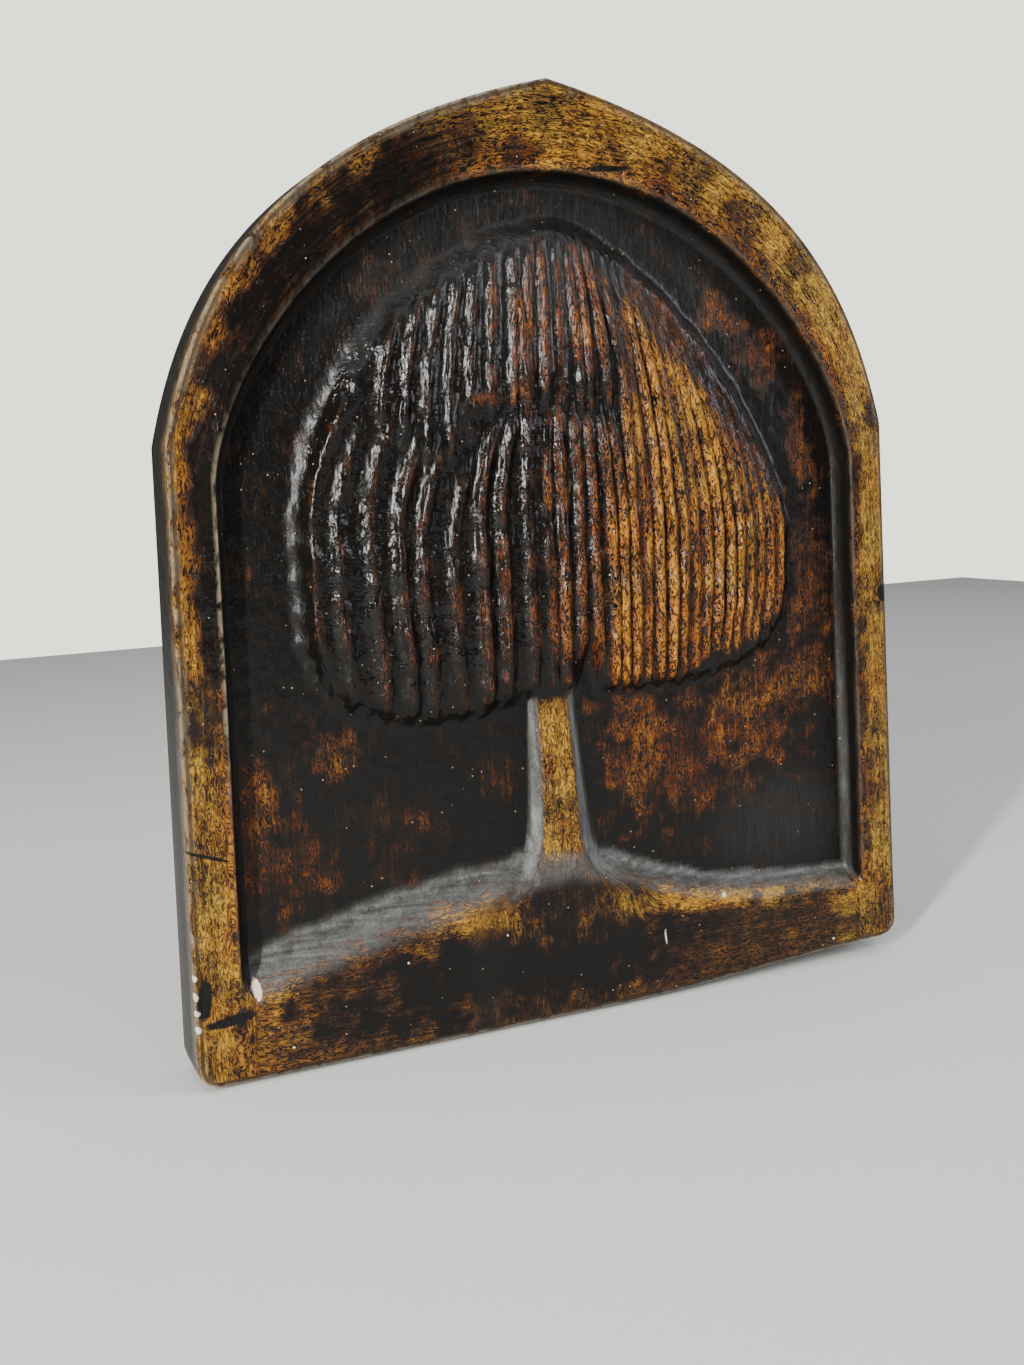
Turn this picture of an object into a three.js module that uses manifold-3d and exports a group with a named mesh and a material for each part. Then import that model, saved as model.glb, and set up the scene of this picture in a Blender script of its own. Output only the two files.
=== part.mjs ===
// Decorative wall plaque: a pointed-arch panel cast in one piece, with a weeping willow in relief.
// Millimetres, +Z up. The front faces -Y and the flat back lies in the plane Y = 0.
import * as THREE from 'three';
import { mergeVertices } from 'three/addons/utils/BufferGeometryUtils.js';
import Module from 'manifold-3d';

const wasm = await Module();
wasm.setup();

// Driving dimensions. Heights are measured up from the foot, "out" is measured from the back.
const FOOT_WIDTH = 241;
const SPRING_WIDTH = 230;
const SPRING_HEIGHT = 181;
const APEX_HEIGHT = 281;
const THICKNESS = 22;
const RECESS_DEPTH = 9;
const MOUNT_HEIGHT = 141;

// Frame: worn outer arris, tapered sides and the rails' inner edge
const ARRIS = 2;
const SIDE_DRAFT = 1.1;
const FOOT_CORNER = 6;
const CORNER_ANGLES = [0, 30, 60, 90];
const FOOT_LIFT = { rise: 5, from: 10, to: 124, fade: 40, steps: 6 };
const ARCH = { lean: 14, springHandle: 47, apexDip: 12.5, apexHandle: 80, steps: 13 };
const INNER_FOOT_WIDTH = 213;
const INNER_FOOT_HEIGHT = 22;
const INNER_SPRING_WIDTH = 205;
const INNER_SPRING_HEIGHT = 170;
const INNER_TOP_HEIGHT = 255.5;
const INNER_ARCH = { lean: 6, springHandle: 31, apexDip: 0, apexHandle: 59, steps: 13 };
const INNER_ARRIS = 0.8;
const WALL_LEAN = 1;
const COVE = 2.6;
const INNER_FOOT_CORNER = 6;

// Every form on the ground is rooted a little below it
const GROUND = THICKNESS - RECESS_DEPTH;
const ROOT = 1;

// Bank of earth: the crest's line from rail to rail, how far its slope runs out to the ground,
// and the slope's section as shares of that run and rises above the ground
const BANK_CREST = [[-112, 25], [-60, 38], [-26, 43.5], [-6, 46.5], [12, 43.5], [38, 34], [112, 24]];
const BANK_STATIONS = 22;
const BANK_RUN_LEFT = 8;
const BANK_RUN_RIGHT = 5;
const BANK_BASE = 18;
const BANK_SLOPE = [[1, -ROOT], [0.92, 0.8], [0.55, 4.5], [0.2, 7.8], [-0.15, RECESS_DEPTH]];

// Trunk: middle line, width and lean of its two flanks, with a flare where it leaves the bank
const TRUNK = { x: -5.2, halfWidth: 5.6, from: 38, to: 122, stations: 13, crowding: 1.3 };
const TRUNK_FACE = { out: 20.8, topOut: 18.2, sinksFrom: 70, sinksTo: 108 };
const TRUNK_FLANK = { left: 2.4, right: 6, topShare: 0.5, from: 60, to: 108 };
const TRUNK_FLARE = { reach: 24, fall: 7, faceShare: 0.45 };
const TRUNK_EDGE = { run: 1, drop: 0.8 };
const FLANK_BEND = { across: 0.55, rise: 0.42 };
const FLANK_TOE = 0.1;

// Crown: four quarters of superellipses about one centre, each with its reach and roundness
const CROWN = { x: 0, z: 150, width: 83, rise: 94.5, domeRise: 15.75 };
const CROWN_QUARTERS = {
  upperRight: { rise: CROWN.rise, across: 1.6, upright: 1.4 },
  upperLeft: { rise: CROWN.rise, across: 1.6, upright: 2.1 },
  lowerLeft: { rise: -49.5, across: 4, upright: 4 },
  lowerRight: { rise: -49.5, across: 4, upright: 4 },
};
const CROWN_QUARTER_STEPS = 11;

// The skirt droops lower towards the left
const DROOP = { depth: 6, from: -5, to: -45 };

// The crown's rounded edge as rises and insets, and its dome as rises and shares of the width
const CROWN_EDGE = [[-2, 0], [0.4, 0], [2.8, 1.4], [4.5, 3.6], [5.3, 6.6]];
const CROWN_DOME = [[5.8, 0.7], [6.2, 0.4], [6.3, 0.15]];

// Hanging strands of the skirt and the shorter ones of the tuft above it
const SKIRT = { from: -74, to: 80, pitchLeft: 8.4, pitchRight: 4.1, out: 18, stations: 9 };
const TUFT = { from: -54, to: 21, pitchLeft: 6.8, pitchRight: 4.2, out: 18.8, stations: 7 };
const SKIRT_DIP = { head: 1, tip: 2.6 };
const TUFT_DIP = { head: 2.6, tip: 0.6 };
const PITCH_CHANGE = { from: -45, to: 30 };
const STRAND_SPREAD = { left: 0.36, right: 0.52 };
const STRAND_HEIGHT = 1.7;
const STRAND_ROOT = 4.5;
const STRAND_FLAT = 0.38;
const STRAND_DOME = 0.9;
const STRAND_WAVER = { height: 0.5, beat: 1.7 };
const STRAND_END = { from: -1, to: 7, headWidth: 0.45, tipWidth: 0.6 };
const SKIRT_CROWDING = 1.25;
const SKIRT_STRAIGHT = 120;
const FAN_HOLD = 0.4;
const TIP_MARGIN = 3.5;
const SHORT_LOCK = { from: 47, tip: 110 };
const SHORT_LEFT = { to: -70, tip: 117 };
const TIER_HEIGHT = 191;
const TIER_DIP = { x: -38, depth: 18, spread: 12 };
const TUFT_OVERLAP = 4;
const TUFT_RIGHT = 21;
const TUFT_BEND = 0.16;
const CROOK = { reach: 3.6, length: 22, growth: 3 };

// Gap between the trunk and the lock beside it
const GAP = { x: 8.2, z: 103, halfWidth: 3.4, halfHeight: 14, splay: 1.6, floor: 0.2, sides: 14 };

// Working values: how far a cut starts clear of the face, the sharpest mitre and the welding distance
const OVERCUT = 3;
const MITRE_LIMIT = 0.5;
const WELD = 1e-4;

const mix = THREE.MathUtils.lerp;
const smooth = (value, low, high) => THREE.MathUtils.smoothstep(value, low, high);
const degrees = THREE.MathUtils.degToRad;
const place = (x, out, z) => new THREE.Vector3(x, -out, z);

// A closed solid through rings of equally many points, with flat ends
function loft(rings) {
  const count = rings[0].length;
  const positions = rings.flat().flatMap((point) => point.toArray());
  const faces = [];
  for (let ring = 0; ring + 1 < rings.length; ring += 1) {
    for (let i = 0; i < count; i += 1) {
      const a = ring * count + i;
      const b = ring * count + ((i + 1) % count);
      faces.push([a, b, b + count], [a, b + count, a + count]);
    }
  }
  const cap = endFaces(rings[0]);
  const lastRing = (rings.length - 1) * count;
  faces.push(...cap.map(([a, b, c]) => [a, c, b]));
  faces.push(...endFaces(rings.at(-1)).map((face) => face.map((index) => index + lastRing)));
  const geometry = new THREE.BufferGeometry();
  geometry.setAttribute('position', new THREE.Float32BufferAttribute(positions, 3));
  geometry.setIndex(facesOutward(faces, positions).flat());
  return geometry;
}

// Triangles that close one flat ring, in the ring's own turn
function endFaces(ring) {
  const origin = ring[0];
  const normal = new THREE.Vector3();
  for (let i = 1; i + 1 < ring.length; i += 1) {
    const one = ring[i].clone().sub(origin);
    const two = ring[i + 1].clone().sub(origin);
    normal.add(one.cross(two));
  }
  const turn = new THREE.Quaternion().setFromUnitVectors(normal.normalize(), new THREE.Vector3(0, 0, 1));
  const flat = ring.map((point) => point.clone().sub(origin).applyQuaternion(turn));
  return THREE.ShapeUtils.triangulateShape(flat.map((point) => new THREE.Vector2(point.x, point.y)), []);
}

// Turns all faces over if they enclose a negative volume
function facesOutward(faces, positions) {
  const corner = (index) => new THREE.Vector3().fromArray(positions, index * 3);
  const volume = faces.reduce((sum, [a, b, c]) => sum + corner(a).dot(corner(b).cross(corner(c))), 0);
  return volume < 0 ? faces.map(([a, b, c]) => [a, c, b]) : faces;
}

// Moves every point of a clockwise loop outward by a distance, square to the loop
function grow(loop, distance) {
  const count = loop.length;
  return loop.map((point, i) => {
    const before = point.clone().sub(loop[(i + count - 1) % count]).normalize();
    const after = loop[(i + 1) % count].clone().sub(point).normalize();
    const normal = new THREE.Vector2(-before.y - after.y, before.x + after.x).normalize();
    const cosine = normal.x * -after.y + normal.y * after.x;
    return point.clone().addScaledVector(normal, distance / Math.max(cosine, MITRE_LIMIT));
  });
}

const ringOf = (loop, out) => loop.map((point) => place(point.x, out, point.y));

// Half of a pointed arch, from its spring on the left to its top
function archHalf(halfWidth, springHeight, topHeight, arch) {
  const lean = degrees(arch.lean);
  const dip = degrees(arch.apexDip);
  const spring = new THREE.Vector2(-halfWidth, springHeight);
  const top = new THREE.Vector2(0, topHeight);
  const rising = new THREE.Vector2(Math.sin(lean), Math.cos(lean)).multiplyScalar(arch.springHandle);
  const easing = new THREE.Vector2(-Math.cos(dip), -Math.sin(dip)).multiplyScalar(arch.apexHandle);
  const springHandle = spring.clone().add(rising);
  const topHandle = top.clone().add(easing);
  return new THREE.CubicBezierCurve(spring, springHandle, topHandle, top).getPoints(arch.steps);
}

// A whole arch outline, clockwise from the left foot, with rounded foot corners
function archLoop(footHalf, footHeight, corner, half) {
  const round = CORNER_ANGLES.map((angle) => {
    const turn = degrees(angle);
    const inward = corner * (1 - Math.sin(turn));
    const upward = corner * (1 - Math.cos(turn));
    return new THREE.Vector2(-footHalf + inward, footHeight + upward);
  });
  const left = [...round, ...half];
  const mirror = (point) => new THREE.Vector2(-point.x, point.y);
  return [...left, ...left.slice(0, -1).reverse().map(mirror)];
}

// The panel's uneven foot: it curves up a little towards the right-hand corner
function liftFoot(loop) {
  const first = loop[0];
  const last = loop.at(-1);
  const foot = [];
  for (let i = 1; i < FOOT_LIFT.steps; i += 1) {
    foot.push(last.clone().lerp(first, i / FOOT_LIFT.steps));
  }
  return [...loop, ...foot].map((point) => {
    const share = smooth(point.x, FOOT_LIFT.from, FOOT_LIFT.to) * (1 - smooth(point.y, 0, FOOT_LIFT.fade));
    return new THREE.Vector2(point.x, point.y + FOOT_LIFT.rise * share);
  });
}

// The plain panel: tapered sides, a worn arris and a flat back
function panel() {
  const half = archHalf(SPRING_WIDTH / 2, SPRING_HEIGHT, APEX_HEIGHT, ARCH);
  const loop = liftFoot(archLoop(FOOT_WIDTH / 2, 0, FOOT_CORNER, half));
  const slope = ARRIS * (1 - Math.SQRT1_2);
  return loft([
    ringOf(grow(loop, SIDE_DRAFT), 0),
    ringOf(loop, THICKNESS - ARRIS),
    ringOf(grow(loop, -slope), THICKNESS - slope),
    ringOf(grow(loop, -ARRIS), THICKNESS),
  ]);
}

// What is taken out of the panel: an arch with leaning walls and a cove round its floor
function recess() {
  const half = archHalf(INNER_SPRING_WIDTH / 2, INNER_SPRING_HEIGHT, INNER_TOP_HEIGHT, INNER_ARCH);
  const loop = archLoop(INNER_FOOT_WIDTH / 2, INNER_FOOT_HEIGHT, INNER_FOOT_CORNER, half);
  const foot = WALL_LEAN + COVE * (1 - Math.SQRT1_2);
  return loft([
    ringOf(grow(loop, INNER_ARRIS), THICKNESS + OVERCUT),
    ringOf(grow(loop, INNER_ARRIS), THICKNESS),
    ringOf(loop, THICKNESS - INNER_ARRIS),
    ringOf(grow(loop, -WALL_LEAN), GROUND + COVE),
    ringOf(grow(loop, -foot), GROUND + COVE * (1 - Math.SQRT1_2)),
    ringOf(grow(loop, -WALL_LEAN - COVE), GROUND),
  ]);
}

// The bank: one rounded slope, swept from rail to rail under its crest line
function bank() {
  const line = new THREE.SplineCurve(BANK_CREST.map(([x, z]) => new THREE.Vector2(x, z)));
  const stations = line.getPoints(BANK_STATIONS);
  return loft(stations.map((crest, i) => {
    const run = mix(BANK_RUN_LEFT, BANK_RUN_RIGHT, i / BANK_STATIONS);
    const slope = BANK_SLOPE.map(([share, rise]) => place(crest.x, GROUND + rise, crest.y + share * run));
    return [place(crest.x, GROUND - ROOT, BANK_BASE), ...slope, place(crest.x, THICKNESS, BANK_BASE)];
  }));
}

// The trunk: a flat face between two leaning flanks, flaring into the bank and sinking under the crown
function trunk() {
  const rings = [];
  for (let i = 0; i <= TRUNK.stations; i += 1) {
    const z = mix(TRUNK.from, TRUNK.to, (i / TRUNK.stations) ** TRUNK.crowding);
    const flare = TRUNK_FLARE.reach * Math.exp((TRUNK.from - z) / TRUNK_FLARE.fall);
    const out = mix(TRUNK_FACE.out, TRUNK_FACE.topOut, smooth(z, TRUNK_FACE.sinksFrom, TRUNK_FACE.sinksTo));
    const taper = mix(1, TRUNK_FLANK.topShare, smooth(z, TRUNK_FLANK.from, TRUNK_FLANK.to));
    const halfFace = TRUNK.halfWidth + TRUNK_FLARE.faceShare * flare;
    const flankFlare = (1 - TRUNK_FLARE.faceShare) * flare;
    const left = trunkFlank(-1, halfFace, TRUNK_FLANK.left * taper + flankFlare, out, z);
    const right = trunkFlank(1, halfFace, TRUNK_FLANK.right * taper + flankFlare, out, z);
    rings.push([...left, ...right.reverse()]);
  }
  return loft(rings);
}

// One flank of the trunk at a height, from its root up to the face
function trunkFlank(side, halfFace, run, out, z) {
  const at = (reach, level) => place(TRUNK.x + side * reach, level, z);
  const foot = halfFace + run;
  return [
    at(foot, GROUND - ROOT),
    at(foot, GROUND + FLANK_TOE),
    at(mix(foot, halfFace, FLANK_BEND.across), mix(GROUND, out, FLANK_BEND.rise)),
    at(halfFace, out - TRUNK_EDGE.drop),
    at(halfFace - TRUNK_EDGE.run, out),
  ];
}

// How far a quarter of the crown reaches up or down at a place across it
function reachOf(quarter, x) {
  const share = quarter.rise < 0 ? 1 - smooth(x, DROOP.to, DROOP.from) : 0;
  return quarter.rise - DROOP.depth * share;
}

// One quarter of the crown's outline, from its side to its top or bottom
function crownQuarter(quarter, side) {
  const points = [];
  for (let i = 0; i < CROWN_QUARTER_STEPS; i += 1) {
    const angle = (i / CROWN_QUARTER_STEPS) * Math.PI / 2;
    const across = Math.cos(angle) ** (2 / quarter.across);
    const upright = Math.sin(angle) ** (2 / quarter.upright);
    const x = CROWN.x + side * CROWN.width * across;
    points.push(new THREE.Vector2(x, CROWN.z + reachOf(quarter, x) * upright));
  }
  return points;
}

// The other way round: a quarter's points from its top or bottom to its side
function crownQuarterBack(quarter, side) {
  const tip = new THREE.Vector2(CROWN.x, CROWN.z + quarter.rise);
  return [tip, ...crownQuarter(quarter, side).slice(1).reverse()];
}

// The crown's outline, clockwise from its left side
function crownLoop() {
  return [
    ...crownQuarter(CROWN_QUARTERS.upperLeft, -1),
    ...crownQuarterBack(CROWN_QUARTERS.upperRight, 1),
    ...crownQuarter(CROWN_QUARTERS.lowerRight, 1),
    ...crownQuarterBack(CROWN_QUARTERS.lowerLeft, -1),
  ];
}

// The crown's body: a rounded edge and a low dome
function crown() {
  const loop = crownLoop();
  const centre = new THREE.Vector2(CROWN.x, CROWN.z + CROWN.domeRise);
  const inner = grow(loop, -CROWN_EDGE.at(-1)[1]);
  const scaled = (factor) => inner.map((point) => centre.clone().lerp(point, factor));
  return loft([
    ...CROWN_EDGE.map(([rise, inset]) => ringOf(grow(loop, -inset), GROUND + rise)),
    ...CROWN_DOME.map(([rise, factor]) => ringOf(scaled(factor), GROUND + rise)),
  ]);
}

// How much of its full width the crown has at a height, on one side
function crownFullness(z, side) {
  const upper = side < 0 ? CROWN_QUARTERS.upperLeft : CROWN_QUARTERS.upperRight;
  const lower = side < 0 ? CROWN_QUARTERS.lowerLeft : CROWN_QUARTERS.lowerRight;
  const quarter = z > CROWN.z ? upper : lower;
  const share = Math.min((z - CROWN.z) / quarter.rise, 1);
  return (1 - share ** quarter.upright) ** (1 / quarter.across);
}

// The height of the crown's upper or lower edge at a place across it
function crownEdge(x, leftQuarter, rightQuarter) {
  const quarter = x < CROWN.x ? leftQuarter : rightQuarter;
  const share = Math.min(Math.abs(x - CROWN.x) / CROWN.width, 1);
  return CROWN.z + reachOf(quarter, x) * (1 - share ** quarter.across) ** (1 / quarter.upright);
}

const crownTop = (x) => crownEdge(x, CROWN_QUARTERS.upperLeft, CROWN_QUARTERS.upperRight);
const crownBottom = (x) => crownEdge(x, CROWN_QUARTERS.lowerLeft, CROWN_QUARTERS.lowerRight);

// Where strands stand side by side: wide apart on the left, close on the right
function strandFeet(group) {
  const feet = [];
  for (let x = group.from; x <= group.to; x += pitchAt(group, x)) {
    feet.push(x);
  }
  return feet;
}

// A value that changes from left to right across the crown
const graded = (left, right, x) => mix(left, right, smooth(x, PITCH_CHANGE.from, PITCH_CHANGE.to));

const pitchAt = (group, x) => graded(group.pitchLeft, group.pitchRight, x);

// Half a strand's width: slim ridges with hollows between on the left, full ones on the right
const halfWidthAt = (group, x) => graded(STRAND_SPREAD.left, STRAND_SPREAD.right, x) * pitchAt(group, x);

// The height where the tuft ends and the skirt's strands come out from under it
function tierHeight(x) {
  return TIER_HEIGHT - TIER_DIP.depth * Math.exp(-(((x - TIER_DIP.x) / TIER_DIP.spread) ** 2));
}

// How far a strand stands above or below its neighbours
function unevenness(x) {
  return STRAND_WAVER.height * Math.sin(x * x + STRAND_WAVER.beat * x);
}

// A strand's section: shares of its half width, and rises above the crown
const STRAND_SECTION = [
  [-1, -STRAND_ROOT], [-1, 0], [-STRAND_FLAT, STRAND_HEIGHT],
  [STRAND_FLAT, STRAND_HEIGHT], [1, 0], [1, -STRAND_ROOT],
];

// A rounded ridge that swells from nothing at its head and sinks away at its tip
function ridge(path, halfWidth, out, dip) {
  const last = path.length - 1;
  const length = path[0].distanceTo(path[last]);
  return loft(path.map((point, i) => {
    const along = path[Math.min(i + 1, last)].clone().sub(path[Math.max(i - 1, 0)]).normalize();
    const across = new THREE.Vector2(along.y, -along.x);
    const fromHead = (length * i) / last;
    const head = smooth(fromHead, STRAND_END.from, STRAND_END.to);
    const tip = smooth(length - fromHead, STRAND_END.from, STRAND_END.to);
    const width = halfWidth * mix(STRAND_END.headWidth, 1, head) * mix(STRAND_END.tipWidth, 1, tip);
    const dome = STRAND_DOME * (1 - ((point.x - CROWN.x) / CROWN.width) ** 2);
    const base = out + dome - dip.head * (1 - head) - dip.tip * (1 - tip);
    return STRAND_SECTION.map(([share, rise]) => {
      const spot = point.clone().addScaledVector(across, width * share);
      return place(spot.x, base + rise, spot.y);
    });
  }));
}

// The least height of a strand's tip: the outer locks end higher
function shortTip(foot) {
  if (foot > SHORT_LOCK.from) return SHORT_LOCK.tip;
  return foot < SHORT_LEFT.to ? SHORT_LEFT.tip : 0;
}

// A skirt strand: out of the tier above with a crook, then down along the crown's fan
function skirtStrand(foot) {
  const side = Math.sign(foot) || 1;
  const fraction = Math.abs(foot - CROWN.x) / CROWN.width;
  const head = foot > TUFT_RIGHT ? crownTop(foot) - STRAND_END.to : tierHeight(foot);
  const lowest = crownBottom(foot) + TIP_MARGIN;
  const tip = Math.max(lowest, shortTip(foot));
  const crook = foot > TUFT_RIGHT ? 0 : CROOK.reach * Math.min(1, fraction * CROOK.growth);
  const hold = mix(FAN_HOLD, 1, fraction ** 2);
  const path = [];
  for (let i = 0; i <= SKIRT.stations; i += 1) {
    const z = mix(head, tip, (i / SKIRT.stations) ** SKIRT_CROWDING);
    const fan = fraction * CROWN.width * crownFullness(Math.max(z, SKIRT_STRAIGHT), side) ** hold;
    const bend = crook * (1 - smooth(head - z, 0, CROOK.length));
    path.push(new THREE.Vector2(CROWN.x + side * (fan - bend), z));
  }
  return ridge(path, halfWidthAt(SKIRT, foot), SKIRT.out + unevenness(foot), SKIRT_DIP);
}

// A tuft strand: short, from the crown's upper edge to the tier
function tuftStrand(foot) {
  const head = crownTop(foot) - STRAND_END.to;
  const path = [];
  for (let i = 0; i <= TUFT.stations; i += 1) {
    const share = i / TUFT.stations;
    const bend = TUFT_BEND * foot * (1 - share) ** 2;
    path.push(new THREE.Vector2(foot - bend, mix(head, tierHeight(foot) - TUFT_OVERLAP, share)));
  }
  return ridge(path, halfWidthAt(TUFT, foot), TUFT.out + unevenness(foot), TUFT_DIP);
}

// The gap beside the trunk, splayed towards the front
function gap() {
  const oval = (spread) => Array.from({ length: GAP.sides }, (_, i) => {
    const angle = (-2 * Math.PI * i) / GAP.sides;
    const x = GAP.x + (GAP.halfWidth + spread) * Math.cos(angle);
    const z = GAP.z + (GAP.halfHeight + spread) * Math.sin(angle);
    return new THREE.Vector2(x, z);
  });
  return loft([ringOf(oval(0), GROUND + GAP.floor), ringOf(oval(GAP.splay), THICKNESS + OVERCUT)]);
}

// Joining and cutting of closed meshes
function solid(geometry) {
  const bare = geometry.clone();
  bare.deleteAttribute('normal');
  bare.deleteAttribute('uv');
  const merged = mergeVertices(bare, WELD);
  const mesh = new wasm.Mesh({
    numProp: 3,
    vertProperties: new Float32Array(merged.attributes.position.array),
    triVerts: new Uint32Array(merged.index.array),
  });
  return new wasm.Manifold(mesh);
}

function geometryOf(shape) {
  const mesh = shape.getMesh();
  const geometry = new THREE.BufferGeometry();
  geometry.setAttribute('position', new THREE.BufferAttribute(mesh.vertProperties, 3));
  geometry.setIndex(new THREE.BufferAttribute(mesh.triVerts, 1));
  return geometry;
}

// The whole casting
function plaqueGeometry() {
  const strands = [...strandFeet(SKIRT).map(skirtStrand), ...strandFeet(TUFT).map(tuftStrand)];
  const willow = strands.reduce((shape, strand) => shape.add(solid(strand)), solid(crown()));
  const casting = solid(panel())
    .subtract(solid(recess()))
    .add(solid(bank()))
    .add(solid(trunk()))
    .add(willow.subtract(solid(gap())));
  return geometryOf(casting);
}

const glaze = new THREE.MeshStandardMaterial({ color: 0x6a4a1e, roughness: 0.32, metalness: 0 });
const plaque = new THREE.Mesh(plaqueGeometry(), glaze);
plaque.name = 'plaque';
plaque.position.z = -MOUNT_HEIGHT;

const part = new THREE.Group();
part.add(plaque);

export default part;
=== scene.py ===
"""Decorative wall plaque: an arched plaster casting, a weeping willow in relief under mottled lacquer."""

import math
from collections import namedtuple

import bpy
import numpy as np
from mathutils import Matrix, Vector


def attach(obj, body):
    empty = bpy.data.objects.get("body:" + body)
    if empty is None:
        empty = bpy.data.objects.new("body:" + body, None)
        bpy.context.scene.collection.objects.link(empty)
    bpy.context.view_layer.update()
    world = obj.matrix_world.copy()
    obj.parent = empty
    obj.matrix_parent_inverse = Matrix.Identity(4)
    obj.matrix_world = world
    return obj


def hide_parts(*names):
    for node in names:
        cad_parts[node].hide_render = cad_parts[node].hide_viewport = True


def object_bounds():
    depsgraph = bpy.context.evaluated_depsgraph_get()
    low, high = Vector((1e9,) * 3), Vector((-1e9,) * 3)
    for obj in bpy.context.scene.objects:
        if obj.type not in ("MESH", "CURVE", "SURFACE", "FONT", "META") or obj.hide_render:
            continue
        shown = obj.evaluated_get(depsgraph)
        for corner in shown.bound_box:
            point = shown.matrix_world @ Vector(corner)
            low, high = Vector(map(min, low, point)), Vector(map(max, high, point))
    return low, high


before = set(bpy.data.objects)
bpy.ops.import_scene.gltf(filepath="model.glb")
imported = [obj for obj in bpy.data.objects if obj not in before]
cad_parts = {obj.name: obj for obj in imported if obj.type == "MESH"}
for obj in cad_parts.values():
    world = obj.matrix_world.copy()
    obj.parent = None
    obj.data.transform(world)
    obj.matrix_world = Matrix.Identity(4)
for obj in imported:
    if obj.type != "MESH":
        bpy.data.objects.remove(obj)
CAD_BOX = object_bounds()

bl_info = {
    "name": "Willow wall plaque",
    "version": (1, 0, 0),
    "blender": (4, 5, 0),
    "location": "View3D > Sidebar > Plaque",
    "description": "Makes a lacquered plaster wall plaque with a willow in relief, and a plain stage for it",
    "category": "Add Mesh",
}

MM = 0.001

# How finely the casting is meshed: columns and rows of the sunk field, steps across the rails and sides
FIELD_COLUMNS = 380
FIELD_ROWS = 165
RAIL_STEPS = 11
SIDE_STEPS = 3
LINE_STEPS = 160

# The frame's outer and inner arches: lean and handle at the spring, dip and handle at the top
Arch = namedtuple("Arch", "lean spring_handle dip top_handle")
OUTER_ARCH = Arch(math.radians(14), 47 * MM, math.radians(12.5), 80 * MM)
INNER_ARCH = Arch(math.radians(6), 31 * MM, 0.0, 59 * MM)
FIELD_SHOULDER = 226 * MM

# The foot curves up a little towards its right-hand corner
FOOT_LIFT = {"rise": 5 * MM, "left": 10 * MM, "right": 124 * MM, "fade": 40 * MM}

# Crest of the bank of earth, from rail to rail, and how far its slope runs out and in, on the left and right
BANK_CREST = [(-112, 25), (-60, 38), (-26, 43.5), (-6, 46.5), (12, 43.5), (38, 34), (112, 24)]
BANK_RUN = (9 * MM, 6 * MM)
BANK_FALL = (6 * MM, 2.5 * MM)
BANK_CHANGE = (-60 * MM, 40 * MM)

# The trunk: its flare above the bank, how far its flanks run out, and how high it stands low down and high up
TRUNK_FLARE = {"reach": 24 * MM, "from": 38 * MM, "fade": 7 * MM}
TRUNK_RUN = {"left": 3 * MM, "right": 8.5 * MM}
TRUNK_RISE = {"low": 7.8 * MM, "high": 4.6 * MM}
TRUNK_ROUND = 1.2 * MM

# Fillets where the forms meet the ground
FILLETS = {"crown": 3.2 * MM, "trunk": 1.8 * MM, "bank": 2.2 * MM}

# Four quarters of the crown's outline as superellipses: reach up or down, roundness across and upright
Quarter = namedtuple("Quarter", "rise across upright")
CROWN_QUARTERS = {
    (-1, 1): Quarter(94.5 * MM, 1.6, 2.1),
    (1, 1): Quarter(94.5 * MM, 1.6, 1.4),
    (-1, -1): Quarter(-49.5 * MM, 4.0, 4.0),
    (1, -1): Quarter(-49.5 * MM, 4.0, 4.0),
}

# The skirt droops lower towards the left
DROOP = {"depth": 6 * MM, "left": -45 * MM, "right": -5 * MM}

# Heights where the skirt's ragged ends give way to the crown's sides, and widths of the rounded border
SKIRT_ENDS = (112 * MM, 135 * MM)
SIDE_BORDER = {"left": 11 * MM, "right": 7 * MM}
SKIRT_BORDER = {"left": 9 * MM, "right": 5.5 * MM}

# Height where the tuft ends, how far that line dips and where, and the tuft's right-hand end
TIER_HEIGHT = 191 * MM
TIER_DIP = {"x": -38 * MM, "depth": 18 * MM, "spread": 12 * MM}
TUFT_RIGHT = 21 * MM

# The notch in the skirt beside the trunk
GAP = {"x": 8.2 * MM, "z": 101 * MM, "reach_x": 3.8 * MM, "reach_z": 12 * MM}

# The frame's inner wall from the ground up: how far in, first in coves and then in millimetres, and how high
WALL_COVE = [(0.85, 0.035), (0.5, 0.14), (0.2, 0.3), (0.0, 0.48)]
WALL_TOP = [(0.4, 0.72), (0.1, 0.9), (-0.25, 0.975), (-0.9, 1.0)]

# Rows of the back, from its edge inward: share of the way out, and the lacquer that ran over it
BACK_ROWS = [(1.0, 0.8), (0.985, 0.7), (0.955, 0.3), (0.9, 0.0)]
BACK_ARRIS = 0.8 * MM

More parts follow.
